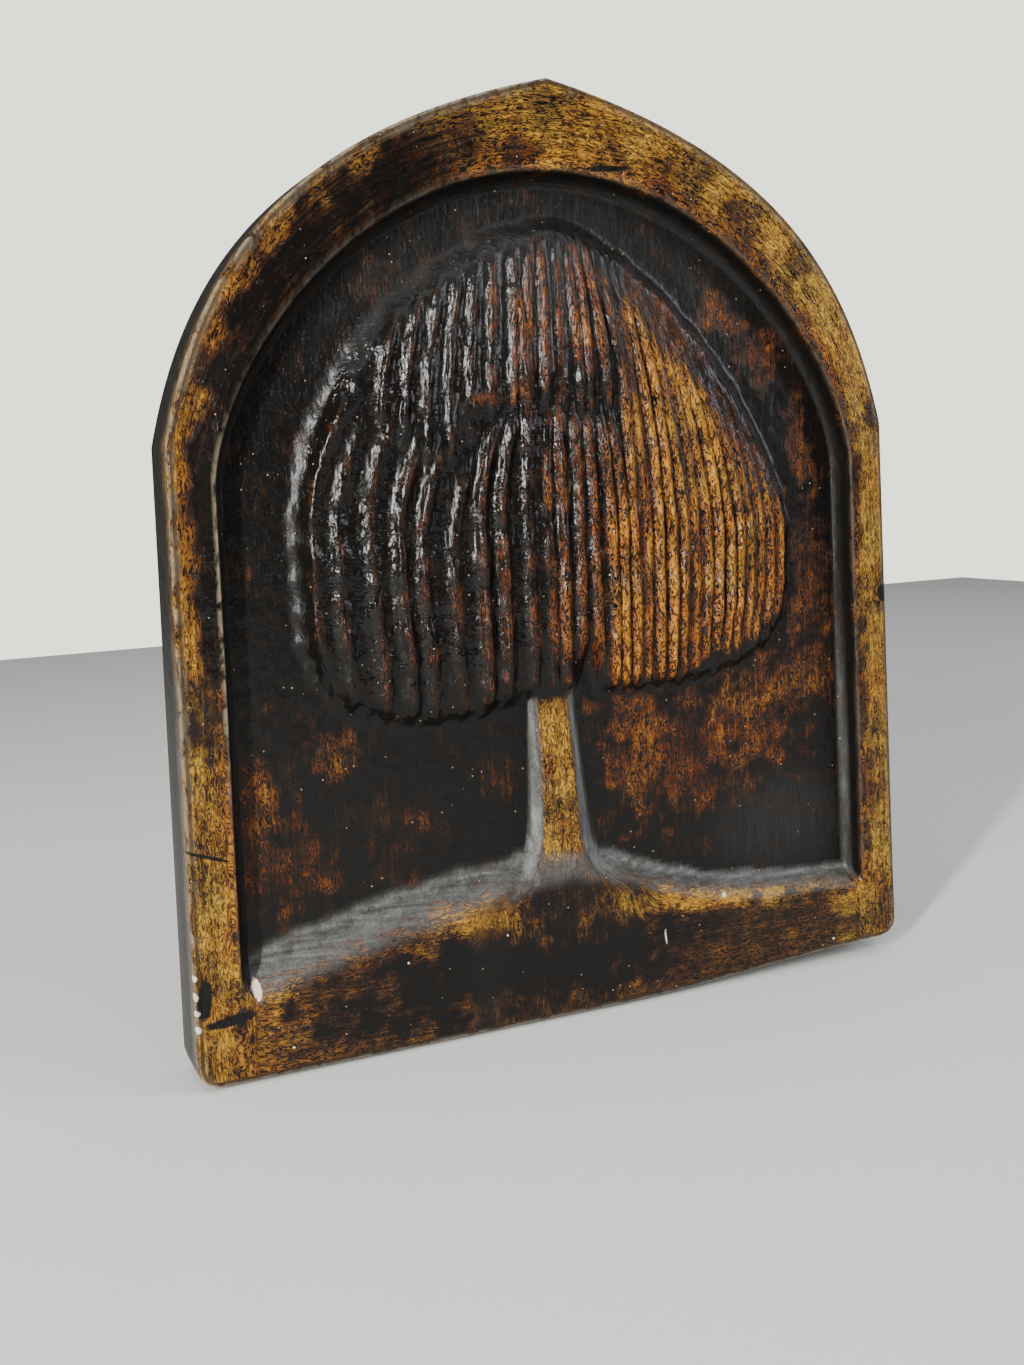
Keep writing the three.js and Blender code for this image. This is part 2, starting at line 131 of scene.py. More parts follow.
# Patches where the lacquer was brushed on thick or wiped thin: place, reach and thickness from 0 to 1
Patch = namedtuple("Patch", "x z reach_x reach_z lacquer")
RAIL_PATCHES = [
    Patch(-113, 108, 10, 12, 0.6),
    Patch(-36, 262, 14, 7, 0.5),
    Patch(-12, 260, 10, 4, 0.6),
    Patch(47, 258, 8, 5, 0.5),
    Patch(64, 246, 8, 5, 0.45),
    Patch(84, 232, 6, 6, 0.4),
    Patch(114, 183, 7, 8, 0.55),
    Patch(116, 122, 4, 9, 0.5),
    Patch(112, 60, 8, 10, 0.35),
    Patch(112, 12, 12, 10, 0.5),
]
GROUND_PATCHES = [
    Patch(-97, 72, 7, 26, 0.45),
    Patch(-90, 60, 18, 16, 0.6),
    Patch(-74, 90, 7, 8, 0.5),
    Patch(-56, 62, 9, 14, 0.7),
    Patch(-22, 78, 8, 8, 0.74),
    Patch(52, 82, 46, 26, 0.74),
    Patch(26, 80, 13, 24, 0.4),
    Patch(44, 66, 12, 11, 0.56),
    Patch(68, 88, 17, 17, 0.38),
    Patch(90, 128, 10, 34, 0.6),
    Patch(88, 98, 12, 14, 0.52),
    Patch(58, 216, 7, 7, 0.58),
    Patch(73, 203, 10, 10, 0.52),
    Patch(88, 172, 5, 18, 0.58),
    Patch(-52, 225, 9, 9, 0.82),
]
CROWN_PATCHES = [
    Patch(-4, 214, 20, 22, 0.62),
    Patch(4, 170, 13, 26, 0.6),
    Patch(-24, 128, 22, 20, 0.78),
    Patch(2, 126, 11, 20, 0.5),
    Patch(60, 190, 12, 14, 0.42),
    Patch(9, 216, 9, 18, 0.48),
    Patch(-22, 191, 12, 2.6, 0.56),
]
BANK_PATCHES = [
    Patch(60, 31, 52, 8, -0.2),
    Patch(-32, 36, 24, 8, 0.15),
    Patch(-64, 28, 26, 6, 0.4),
    Patch(-6, 38, 12, 10, 0.78),
    Patch(-106, 16, 22, 18, 0.2),
    Patch(104, 16, 20, 14, 0.25),
    Patch(-22, 18, 66, 13, 1.05),
    Patch(34, 20, 24, 7, 0.9),
    Patch(66, 11, 34, 9, 0.6),
]

# Small losses down to the bare plaster, and small dark nicks: place, reach, turn and how deep they go
Mark = namedtuple("Mark", "x z reach_x reach_z turn depth", defaults=(6.0,))
CHIPS = [
    Mark(-102, 27, 1.5, 3.5, 0.1),
    Mark(-119.6, 33.5, 1.3, 1.1, 0.0, 1.6),
    Mark(-119.6, 28, 1.2, 1.4, 0.2, 1.6),
    Mark(-119.6, 23.2, 1.4, 1.0, 0.0, 1.6),
    Mark(-119.4, 18.4, 1.3, 1.2, 0.4, 1.6),
    Mark(-93, 8, 0.45, 0.4, 0.0),
    Mark(52, 30, 1.0, 0.7, 0.5),
    Mark(94, 8, 0.5, 0.5, 0.0),
    Mark(-57, 27, 0.4, 0.4, 0.0),
    Mark(-25, 30, 0.35, 0.4, 0.0),
    Mark(29.5, 20, 0.3, 2.6, 0.1),
]
NICKS = [
    Mark(-113, 68, 7.0, 0.5, -0.35),
    Mark(18, 256.5, 7.0, 0.9, 0.05),
    Mark(115, 125, 2.2, 3.0, 0.0),
    Mark(41, 172, 0.9, 3.2, 0.2),
    Mark(-117, 27, 2.2, 6.5, -0.15),
    Mark(-110, 19.5, 8.0, 1.6, 0.12),
]


def size(name, description, millimetres):
    """A length that a user may change, given in millimetres and kept in metres."""
    return bpy.props.FloatProperty(
        name=name, description=description, default=millimetres * MM, unit="LENGTH"
    )


def tint(name, description, colour):
    """A colour that a user may change."""
    return bpy.props.FloatVectorProperty(
        name=name, description=description, default=colour, size=3, min=0.0, max=1.0, subtype="COLOR"
    )


class PanelSizes(bpy.types.PropertyGroup):
    """Sizes of the arched panel and its frame."""

    foot_width: size("Foot width", "Width across the foot", 241)
    spring_width: size("Spring width", "Width where the arch springs", 230)
    spring_height: size("Spring height", "Height where the arch springs", 181)
    apex_height: size("Apex height", "Height from the foot to the apex", 281)
    thickness: size("Thickness", "From the back to the face of the frame", 22)
    recess_depth: size("Recess depth", "From the face of the frame down to the ground", 9)
    mount_height: size("Mount height", "From the foot up to the origin on the back", 141)
    arris: size("Arris", "Radius of the worn outer edge", 2)
    side_draft: size("Side draft", "How much wider the back is than the face, on each side", 1.1)
    foot_corner: size("Foot corner", "Radius of the two lower corners", 6)
    inner_foot_width: size("Inner foot width", "Width between the rails low down", 213)
    inner_foot_height: size("Inner foot height", "Height where that width is measured", 22)
    inner_spring_width: size("Inner spring width", "Width between the rails where their arch springs", 205)
    inner_spring_height: size("Inner spring height", "Height where the inner arch springs", 170)
    inner_top_height: size("Inner top height", "Height from the foot to the top of the sunk field", 255.5)
    wall_lean: size("Wall lean", "How far the frame's inner wall leans in", 1)
    cove: size("Cove", "Radius of the hollow between wall and ground", 2.6)
    lumps: size("Lumps", "Height of the hand-worked unevenness", 0.34)


class WillowSizes(bpy.types.PropertyGroup):
    """Sizes of the willow's trunk, crown and strands."""

    crown_half_width: size("Crown half width", "From the middle line to the crown's side", 83)
    crown_height: size("Crown height", "Height of the crown's widest place", 150)
    crown_relief: size("Crown relief", "How far the crown stands above the ground", 5.4)
    crown_dome: size("Crown dome", "How much higher the crown is in its middle", 0.9)
    tuft_relief: size("Tuft relief", "How far the tuft stands above the skirt", 0.7)
    strand_relief: size("Strand relief", "How far a strand stands above the crown", 2.1)
    pitch_left: size("Pitch on the left", "Distance between the skirt's strands on the left", 8.4)
    pitch_right: size("Pitch on the right", "Distance between strands on the right", 4.1)
    tuft_pitch: size("Tuft pitch", "Distance between the tuft's strands on the left", 6.8)
    trunk_x: size("Trunk place", "Where the trunk's middle is across the panel", -5.2)
    trunk_half_width: size("Trunk half width", "Half the width of the trunk's face", 5.6)


class LacquerColours(bpy.types.PropertyGroup):
    """Colours of the lacquer, from thin to thick, and of the plaster under it."""

    gold: tint("Gold", "Thin lacquer with a greenish cast", (0.33, 0.2, 0.024))
    ochre: tint("Ochre", "Lacquer of middling thickness, greenish", (0.15, 0.083, 0.009))
    umber: tint("Umber", "Thicker lacquer, greenish", (0.07, 0.034, 0.007))
    honey: tint("Honey", "Thin lacquer with a warm cast", (0.39, 0.155, 0.009))
    amber: tint("Amber", "Lacquer of middling thickness, warm", (0.2, 0.064, 0.005))
    rust: tint("Rust", "Thicker lacquer, warm", (0.09, 0.02, 0.0035))
    brown: tint("Brown", "Thick lacquer", (0.018, 0.0065, 0.0025))
    black: tint("Black", "Lacquer pooled in the hollows", (0.0045, 0.0038, 0.0033))
    # Dust and sheen: partly a dusty bloom, partly a painted grey sheen, a painted reflection on slopes and
    # flanks
    haze: tint("Haze", "Dry, dusty bloom on slopes", (0.2, 0.205, 0.195))
    # Worn edge colour: partly rubbed pale edges, partly a painted highlight along the arrises; it also
    # colours specks of dust
    worn: tint("Worn edge", "Edges rubbed pale", (0.42, 0.34, 0.22))
    plaster: tint("Plaster", "Bare plaster in chips and on the back", (0.68, 0.58, 0.46))
    dirt: tint("Dirt", "Old dirt on the bare back", (0.36, 0.28, 0.19))
    floor: tint("Floor", "The plain stage", (0.66, 0.66, 0.63))


def smooth(value, low, high):
    """0 below low and 1 above high, with soft ends between."""
    share = np.clip((value - low) / (high - low), 0.0, 1.0)
    return share * share * (3.0 - 2.0 * share)


def mix(one, two, share):
    """A value between two others."""
    return one + (two - one) * share


def wobble(x, z, size, seed):
    """A smooth wavering value from about -1 to 1, for edges that no hand drew straight."""
    total = np.zeros_like(x)
    for turn in range(5):
        angle = seed + 2.4 * turn
        wave = (x * math.cos(angle) + z * math.sin(angle)) / size
        total += np.sin(wave * (1 + 0.37 * turn) + seed * (turn + 1))
    return total / 2.5


def soft_max(one, two, blend):
    """The higher of two reliefs, with a fillet where they meet."""
    share = np.clip(0.5 + 0.5 * (one - two) / blend, 0.0, 1.0)
    return mix(two, one, share) + blend * share * (1.0 - share)


def arch_half(half_width, spring_height, top_height, arch):
    """Points of half an arch, from its spring on the left to its top."""
    spring = np.array([-half_width, spring_height])
    top = np.array([0.0, top_height])
    rising = spring + arch.spring_handle * np.array([math.sin(arch.lean), math.cos(arch.lean)])
    easing = top - arch.top_handle * np.array([math.cos(arch.dip), math.sin(arch.dip)])
    t = np.linspace(0.0, 1.0, LINE_STEPS)[:, None]
    s = 1.0 - t
    return s**3 * spring + 3 * s**2 * t * rising + 3 * s * t**2 * easing + t**3 * top


def mirrored(left):
    """A whole line from its left half, which ends on the middle line."""
    return np.concatenate([left, left[-2::-1] * np.array([-1.0, 1.0])])


def grown(line, distance, closed=False):
    """A clockwise line moved outward, square to itself."""
    if closed:
        along = np.roll(line, -1, axis=0) - np.roll(line, 1, axis=0)
    else:
        along = np.gradient(line, axis=0)
    along = along / np.linalg.norm(along, axis=1, keepdims=True)
    return line + distance * np.column_stack([-along[:, 1], along[:, 0]])


def rail_edges(panel):
    """The frame's outer and inner edges as matching points, from the left foot over the top to the right."""
    turn = np.linspace(0.0, math.pi / 2, LINE_STEPS // 8)
    rise = np.linspace(0.0, 1.0, LINE_STEPS)[1:-1, None]
    half = panel.foot_width / 2
    corner = panel.foot_corner
    low = np.column_stack([corner * (1 - np.sin(turn)) - half, corner * (1 - np.cos(turn))])
    arch = arch_half(panel.spring_width / 2, panel.spring_height, panel.apex_height, OUTER_ARCH)
    outer = np.concatenate([low, mix(low[-1], arch[0], rise), arch])
    inner_arch = arch_half(
        panel.inner_spring_width / 2, panel.inner_spring_height, panel.inner_top_height, INNER_ARCH
    )
    known = np.array([-panel.inner_foot_width / 2, panel.inner_foot_height])
    slope = (inner_arch[0] - known) / (inner_arch[0][1] - known[1])
    heights = np.linspace(panel.arris, corner, len(turn))[:, None]
    inner_low = known + slope * (heights - known[1])
    inner = np.concatenate([inner_low, mix(inner_low[-1], inner_arch[0], rise), inner_arch])
    return mirrored(outer), mirrored(inner)


def distances_along(line):
    """How far along a line each of its points lies."""
    return np.concatenate([[0.0], np.cumsum(np.linalg.norm(np.diff(line, axis=0), axis=1))])


def even_places(line, first, last, count):
    """Fractional indices of points spaced evenly along a stretch of a line."""
    along = distances_along(line)
    wanted = np.linspace(along[first], along[last], count + 1)
    return np.interp(wanted, along, np.arange(len(line)))


def at_places(line, places):
    """Points of a line at fractional indices."""
    index = np.arange(len(line))
    return np.column_stack([np.interp(places, index, line[:, axis]) for axis in (0, 1)])


def field_grid(edge):
    """A smooth grid over the sunk field, between its left, top and right edges and the foot."""
    left = edge[: FIELD_ROWS + 1]
    top = edge[FIELD_ROWS : FIELD_ROWS + FIELD_COLUMNS + 1]
    right = edge[FIELD_ROWS + FIELD_COLUMNS :][::-1]
    u = np.linspace(0.0, 1.0, FIELD_COLUMNS + 1)[None, :, None]
    v = np.linspace(0.0, 1.0, FIELD_ROWS + 1)[:, None, None]
    foot = mix(left[0], right[0], u)
    between_ends = mix(foot, top[None], v)
    between_sides = mix(left[:, None], right[:, None], u)
    corners = mix(mix(left[0], right[0], u), mix(left[-1], right[-1], u), v)
    return between_ends + between_sides - corners


def field_rim(grid):
    """The values along the field's left, top and right edges."""
    return np.concatenate([grid[:, 0], grid[-1, 1:-1], grid[::-1, -1]])


def bank_crest(x):
    """Height of the bank's crest across the panel, smooth through its given points."""
    points = np.array(BANK_CREST) * MM
    slopes = np.gradient(points[:, 1], points[:, 0])
    index = np.clip(np.searchsorted(points[:, 0], x) - 1, 0, len(points) - 2)
    width = points[index + 1, 0] - points[index, 0]
    t = np.clip((x - points[index, 0]) / width, 0.0, 1.0)
    start = (1 + 2 * t) * (1 - t) ** 2 * points[index, 1] + t * (1 - t) ** 2 * width * slopes[index]
    end = t**2 * (3 - 2 * t) * points[index + 1, 1] + t**2 * (t - 1) * width * slopes[index + 1]
    return start + end


def crown_reach(quarter, x):
    """How far a quarter of the crown reaches up or down at a place across it."""
    droop = 0.0 if quarter.rise > 0 else 1 - smooth(x, DROOP["left"], DROOP["right"])
    return quarter.rise - DROOP["depth"] * droop


def crown_inset(willow, x, z):
    """How far inside the crown's outline a point lies, nearly in metres, negative outside."""
    inset = np.zeros_like(x)
    for (side, level), quarter in CROWN_QUARTERS.items():
        here = (np.sign(x) * side >= 0) & (np.sign(z - willow.crown_height) * level >= 0)
        reach = crown_reach(quarter, x[here])
        a = np.abs(x[here]) / willow.crown_half_width + 1e-6
        b = (z[here] - willow.crown_height) / reach + 1e-6
        full = a**quarter.across + b**quarter.upright
        steep_x = quarter.across * a ** (quarter.across - 1) / willow.crown_half_width
        steep_z = quarter.upright * b ** (quarter.upright - 1) / np.abs(reach)
        inset[here] = (1 - full) / np.hypot(steep_x, steep_z)
    return inset


def crown_fullness(willow, z, side):
    """How much of its full width the crown has at a height, on one side."""
    quarter = CROWN_QUARTERS[(side, 1 if z > willow.crown_height else -1)]
    share = min((z - willow.crown_height) / quarter.rise, 1.0)
    return (1 - share**quarter.upright) ** (1 / quarter.across)


def crown_edge(willow, x, level):
    """The height of the crown's upper or lower edge at a place across it."""
    quarter = CROWN_QUARTERS[(-1 if x < 0 else 1, level)]
    share = min(abs(x) / willow.crown_half_width, 1.0)
    fullness = (1 - share**quarter.across) ** (1 / quarter.upright)
    return willow.crown_height + crown_reach(quarter, x) * fullness


def tier_height(x):
    """The height where the tuft ends and the skirt's strands come out from under it."""
    return TIER_HEIGHT - TIER_DIP["depth"] * np.exp(-(((x - TIER_DIP["x"]) / TIER_DIP["spread"]) ** 2))


class Relief:
    """The field's forms at a set of points: how far out they stand, and which form is there."""

    def __init__(self, panel, willow, x, z):
        self.x = x
        self.z = z
        ground = panel.thickness - panel.recess_depth
        self.make_bank(panel)
        self.make_trunk(willow)
        self.make_crown(willow)
        out = np.full_like(x, ground)
        out = soft_max(out, ground + self.crown_rise, FILLETS["crown"])
        out = soft_max(out, ground + self.trunk_rise, FILLETS["trunk"])
        out = soft_max(out, ground + self.bank_rise, FILLETS["bank"])
        self.out = np.minimum(out, panel.thickness)

    def make_bank(self, panel):
        """The rounded bank of earth."""
        to_right = smooth(self.x, *BANK_CHANGE)
        run = mix(*BANK_RUN, to_right)
        fall = mix(*BANK_FALL, to_right)
        past = self.z - bank_crest(self.x) + 0.5 * MM * wobble(self.x, self.z, 4 * MM, 3.3)
        self.bank = 1 - smooth(past, -fall, run)
        self.bank_slope = smooth(past, -1.2 * fall, 0.0) * (1 - smooth(past, 0.7 * run, 1.15 * run))
        self.bank_crease = np.exp(-(((past - 0.75 * run) / (1.3 * MM)) ** 2))
        self.bank_rise = panel.recess_depth * self.bank

    def make_trunk(self, willow):
        """The trunk, flaring into the bank and sinking under the crown."""
        height = self.z
        above_bank = np.maximum(height - TRUNK_FLARE["from"], 0.0)
        flare = TRUNK_FLARE["reach"] * np.exp(-above_bank / TRUNK_FLARE["fade"])
        half = willow.trunk_half_width + 0.45 * flare
        taper = 1 - 0.5 * smooth(height, 60 * MM, 108 * MM)
        left_run = TRUNK_RUN["left"] * taper + 0.55 * flare
        right_run = TRUNK_RUN["right"] * taper + 0.55 * flare
        across = self.x - willow.trunk_x
        left = smooth(across, -half - left_run, -half + TRUNK_ROUND)
        right = 1 - smooth(across, half - TRUNK_ROUND, half + right_run)
        self.trunk = np.minimum(left, right) * (1 - smooth(height, 103 * MM, 112 * MM))
        self.trunk_face = smooth(self.trunk, 0.75, 0.98)
        self.trunk_flank = smooth(self.trunk, 0.05, 0.4) * (1 - self.trunk_face)
        rise = mix(TRUNK_RISE["low"], TRUNK_RISE["high"], smooth(height, 70 * MM, 106 * MM))
        self.trunk_rise = rise * self.trunk

    def make_crown(self, willow):
        """The crown's rounded mass, with the tuft a step above the skirt."""
        inset = crown_inset(willow, self.x, self.z)
        inset = inset + 0.45 * MM * wobble(self.x, self.z, 3.1 * MM, 0.7)
        low = 1 - smooth(self.z, *SKIRT_ENDS)
        inset = inset + 0.8 * MM * low * wobble(self.x, self.z, 1.5 * MM, 0.9)
        gap = np.hypot((self.x - GAP["x"]) / GAP["reach_x"], (self.z - GAP["z"]) / GAP["reach_z"])
        open_gap = smooth(gap, 0.3, 1.9)
        skirt = mix(SKIRT_BORDER["left"], SKIRT_BORDER["right"], smooth(self.x, -20 * MM, 10 * MM))
        side = mix(SIDE_BORDER["left"], SIDE_BORDER["right"], smooth(self.x, -40 * MM, 40 * MM))
        border = mix(side, skirt, low)
        share = np.clip((inset + 0.8 * MM) / border, 0.0, 1.0)
        self.crown = np.sin(0.5 * math.pi * share) * open_gap
        self.crown_face = smooth(inset, mix(0.12, -0.1, low) * border, mix(0.7, 0.5, low) * border) * open_gap
        lower_edge = mix(3.0, 8.0, smooth(self.x, 44 * MM, 50 * MM)) * MM * low
        self.crown_paint = self.crown_face * smooth(inset, lower_edge - 3 * MM, lower_edge + 2.5 * MM)
        dome = willow.crown_dome * smooth(inset, 0.0, 40 * MM)
        above_tier = smooth(self.z - tier_height(self.x), -5 * MM, 5 * MM)
        tuft = above_tier * (1 - smooth(self.x, TUFT_RIGHT - 3 * MM, TUFT_RIGHT + 6 * MM))
        step = willow.tuft_relief * tuft * smooth(inset, 3 * MM, 9 * MM)
        self.crown_rise = willow.crown_relief * self.crown + (dome + step) * self.crown_face


# Warmth of the lacquer's colour on the bank and foot, and along the frame's inner edge
FOOT_WARMTH = 0.38
INNER_WARMTH = 0.7


def brushed(base, x, z, patches):
    """Lacquer thickness with each patch brushed over the ones before it, with ragged edges."""
    lacquer = np.full_like(x, base) if np.isscalar(base) else base.copy()
    rag = 0.3 * wobble(x, z, 3.4 * MM, 1.3) + 0.22 * wobble(x, z, 1.5 * MM, 4.1)
    for patch in patches:
        away = np.hypot((x / MM - patch.x) / patch.reach_x, (z / MM - patch.z) / patch.reach_z)
        lacquer = mix(lacquer, patch.lacquer, 1 - smooth(away + rag, 0.35, 1.35))
    return lacquer


def field_lacquer(relief):
    """Lacquer thickness over the sunk field and what stands in it."""
    x = relief.x
    z = relief.z
    ground = brushed(0.97, x, z, GROUND_PATCHES)
    middle = mix(12 * MM, 24 * MM, smooth(z, 150 * MM, 200 * MM)) + 5 * MM * wobble(x, z, 4 * MM, 2.2)
    crown = mix(0.24, 0.95, 1 - smooth(x - middle, -16 * MM, 9 * MM))
    crown = brushed(crown, x, z, CROWN_PATCHES)
    bank = brushed(mix(0.6, 0.2, smooth(np.abs(x), 86 * MM, 104 * MM)), x, z, BANK_PATCHES)
    lacquer = mix(ground, crown, relief.crown_paint)
    lacquer = mix(lacquer, bank, smooth(relief.bank, 0.25, 0.85))
    trunk = relief.trunk_face * smooth(z, 44 * MM, 54 * MM) * (1 - relief.crown_face)
    return mix(lacquer, 0.18, trunk)


def field_warmth(relief):
    """How warm the thin lacquer's colour is, over the field."""
    x = relief.x
    z = relief.z
    tips = 1 - smooth(z, 108 * MM, 140 * MM)
    crown = mix(0.95, mix(0.72, 1.0, tips), smooth(x, 8 * MM, 22 * MM))
    warmth = mix(0.8, crown, relief.crown_face)
    warmth = mix(warmth, FOOT_WARMTH, smooth(relief.bank, 0.25, 0.85))
    return mix(warmth, 0.3, relief.trunk_face * (1 - relief.crown_face))


def field_haze(relief):
    """Dust and painted grey sheen on the field's slopes, with a painted highlight along the bank's crease and
    painted sheen on the trunk's flanks.
    """
    # Grey on the bank's slope is partly dust, partly painted sheen; the line along its crease is a painted
    # highlight
    haze = np.maximum(0.42 * relief.bank_slope, 0.75 * relief.bank_crease * (1 - relief.trunk))
    # Painted sheen on the trunk's flanks, and a faint painted sheen towards the top of the field
    painted_flank_sheen = relief.trunk_flank * smooth(relief.z, 36 * MM, 50 * MM) * (1 - relief.crown_face)
    haze = np.maximum(haze, 0.95 * painted_flank_sheen) + 0.04 * smooth(relief.z, 190 * MM, 235 * MM)
    # A faint patch of the same grey low on the right of the field
    corner = np.hypot((relief.x - 78 * MM) / (26 * MM), (relief.z - 50 * MM) / (16 * MM))
    return np.maximum(haze, 0.06 * (1 - smooth(corner, 0.3, 1.4)))


def rail_lacquer(points, share):
    """Lacquer thickness on the frame: black over the left's inner half, reddish along the right's edge."""
    x, z = points.T
    ragged = share + 0.14 * wobble(x, z, 4 * MM, 5.2) + 0.08 * wobble(x, z, 1.7 * MM, 2.6)
    reach = mix(0.62, 0.8, smooth(z, 190 * MM, 215 * MM))
    black = smooth(-x, 12 * MM, 48 * MM) * smooth(z, 100 * MM, 124 * MM)
    black = black * (1 - smooth(ragged, reach - 0.25, reach + 0.25))
    red = smooth(x, 10 * MM, 60 * MM) * (1 - smooth(ragged, 0.05, 0.4)) * smooth(z, 22 * MM, 45 * MM)
    lacquer = brushed(mix(0.2, 0.06, smooth(x, 40 * MM, 100 * MM)), x, z, RAIL_PATCHES + BANK_PATCHES)
    return mix(mix(lacquer, 0.55, red), 0.9, black)


def rail_warmth(points, share):
    """How warm the frame's thin lacquer is: reddish along its inner edge, greenish at the apex."""
    x, z = points.T
    upper_left = smooth(-x, 50 * MM, 100 * MM) * smooth(z, 110 * MM, 140 * MM)
    above_foot = smooth(z, 18 * MM, 45 * MM)
    inner = mix(FOOT_WARMTH, INNER_WARMTH, above_foot)
    face = mix(FOOT_WARMTH, 0.2, above_foot)
    return mix(face, inner, 1 - smooth(share, 0.0, 0.45)) + 0.3 * upper_left


# Values that the finish reads from the mesh, and the layers that keep the brush marks of its faces apart
FINISH_VALUES = ("lacquer", "warmth", "haze", "dryness", "crown_face", "lumpiness", "edge")
LAYERS = {"field": 0.0, "frame": 0.5, "side": 1.5, "back": 2.5}


def brush_places(across, along, layer):
    """Where points lie across and along the brush strokes, on a layer of their own."""
    return np.column_stack(np.broadcast_arrays(across, along, LAYERS[layer]))


class Casting:
    """Collects the casting's vertices, faces and the values that its finish reads."""

    def __init__(self):
        self.places = []
        self.values = {name: [] for name in FINISH_VALUES}
        self.brush = []
        self.faces = []
        self.bare = []
        self.count = 0

    def add_row(self, points, out, brush, **values):
        """Adds points that lie out from the back by given distances, and returns their numbers."""
        number = len(points)
        self.places.append(np.column_stack([points[:, 0], np.broadcast_to(out, number), points[:, 1]]))
        self.brush.append(brush)
        for name, known in self.values.items():
            known.append(np.broadcast_to(values.get(name, 0.0), number))
        self.count += number
        return np.arange(self.count - number, self.count)

    def add_band(self, inner, outer, closed=False):
        """Faces between two rows of equally many points."""
        ahead_inner = np.roll(inner, -1)
        ahead_outer = np.roll(outer, -1)
        quads = np.column_stack([inner, ahead_inner, ahead_outer, outer])
        quads = quads if closed else quads[:-1]
        self.faces.extend(quads.tolist())
        return len(quads)


def add_field(casting, panel, willow, edge):
    """The sunk field, with bank, trunk and crown; returns its numbers and its relief."""
    grid = field_grid(edge).reshape(-1, 2)
    relief = Relief(panel, willow, grid[:, 0], grid[:, 1])
    fan = np.array([crown_fullness(willow, max(z, willow.crown_height), -1 if x < 0 else 1) for x, z in grid])
    spread = mix(1.0, np.maximum(fan, 0.3) ** 0.6, relief.crown_face)
    across = grid[:, 0] / spread
    upright = grid[:, 1]
    level = smooth(relief.bank, 0.02, 0.08) * (1 - relief.trunk)
    brush = brush_places(mix(across, upright, level), mix(upright, across, level), "field")
    numbers = casting.add_row(
        grid,
        relief.out,
        brush,
        lacquer=field_lacquer(relief),
        warmth=field_warmth(relief),
        haze=field_haze(relief),
        dryness=0.55 * (1 - smooth(relief.crown_face, 0.05, 0.6)),
        crown_face=relief.crown_face,
        lumpiness=mix(0.6, 1.1, smooth(relief.crown, 0.2, 1.0)) * (1 - relief.trunk_face * 0.4),
    )
    numbers = numbers.reshape(FIELD_ROWS + 1, FIELD_COLUMNS + 1)
    for low, high in zip(numbers[:-1], numbers[1:]):
        quads = np.column_stack([low[:-1], low[1:], high[1:], high[:-1]])
        casting.faces.extend(quads.tolist())
    return numbers, relief


def add_frame(casting, panel, inner, outer, field, relief):
    """The frame's wall and face, outward from the field's edge; returns its rows."""
    edge = field_rim(field)
    foot = field_rim(relief.out.reshape(field.shape))
    low_lacquer = field_rim(field_lacquer(relief).reshape(field.shape))
    along = distances_along(inner)
    width = np.linalg.norm(outer - inner, axis=1)
    inward = (inner - outer) / width[:, None]
    wall = smooth(panel.thickness - foot, 1.0 * MM, 6.0 * MM)
    rows = []
    shares = [(panel.wall_lean + share * panel.cove, rise) for share, rise in WALL_COVE]
    shares += [(share * MM, rise) for share, rise in WALL_TOP]
    for offset, rise in shares:
        points = inner + inward * offset
        rail = rail_lacquer(points, 0.0)
        lacquer = mix(rail, np.maximum(low_lacquer, 0.93), wall * (1 - smooth(rise, 0.8, 1.0)))
        brush = brush_places(-offset, along, "frame")
        # A pale line along the wall's top arris, strongest on the left rail: partly rubbed lacquer, partly
        # painted highlight
        rubbed_and_lit = smooth(points[:, 1], 70 * MM, 110 * MM) * (1 - smooth(points[:, 1], 165 * MM, 195 * MM))
        rubbed_and_lit = rubbed_and_lit * smooth(-points[:, 0], 60 * MM, 95 * MM)
        edge_wear_and_highlight = mix(0.12, 0.9, rubbed_and_lit) * wall * math.exp(-(((rise - 0.95) / 0.06) ** 2))
        # Dust and painted grey sheen along the cove at the foot of the wall, the sheen a painted highlight of
        # the hollow: strong low on the right, faint elsewhere
        dusty_and_shiny = smooth(points[:, 0], 60 * MM, 100 * MM) * (1 - smooth(points[:, 1], 70 * MM, 130 * MM))
        haze = mix(0.04, 0.4, dusty_and_shiny) * wall * math.exp(-(((rise - 0.2) / 0.14) ** 2))
        row = casting.add_row(
            points, mix(foot, panel.thickness, rise), brush,
            lacquer=lacquer, warmth=mix(FOOT_WARMTH, INNER_WARMTH, wall), haze=haze,
            dryness=0.6 * wall, lumpiness=0.3, edge=edge_wear_and_highlight,
        )
        casting.add_band(edge if not rows else rows[-1], row)
        rows.append(row)
    start = points
    for step in range(1, RAIL_STEPS + 1):
        share = step / RAIL_STEPS
        points = mix(start, outer, share)
        lacquer = rail_lacquer(points, share)
        brush = brush_places(share * width, along, "frame")
        # The frame's outermost row gets a faint pale edge, partly wear, partly painted highlight
        last = step == RAIL_STEPS
        row = casting.add_row(
            points, panel.thickness, brush,
            lacquer=lacquer, warmth=rail_warmth(points, share),
            lumpiness=0.8 * (1 - 0.6 * last), edge=0.2 * last,
        )
        casting.add_band(rows[-1], row)
        rows.append(row)
    return rows


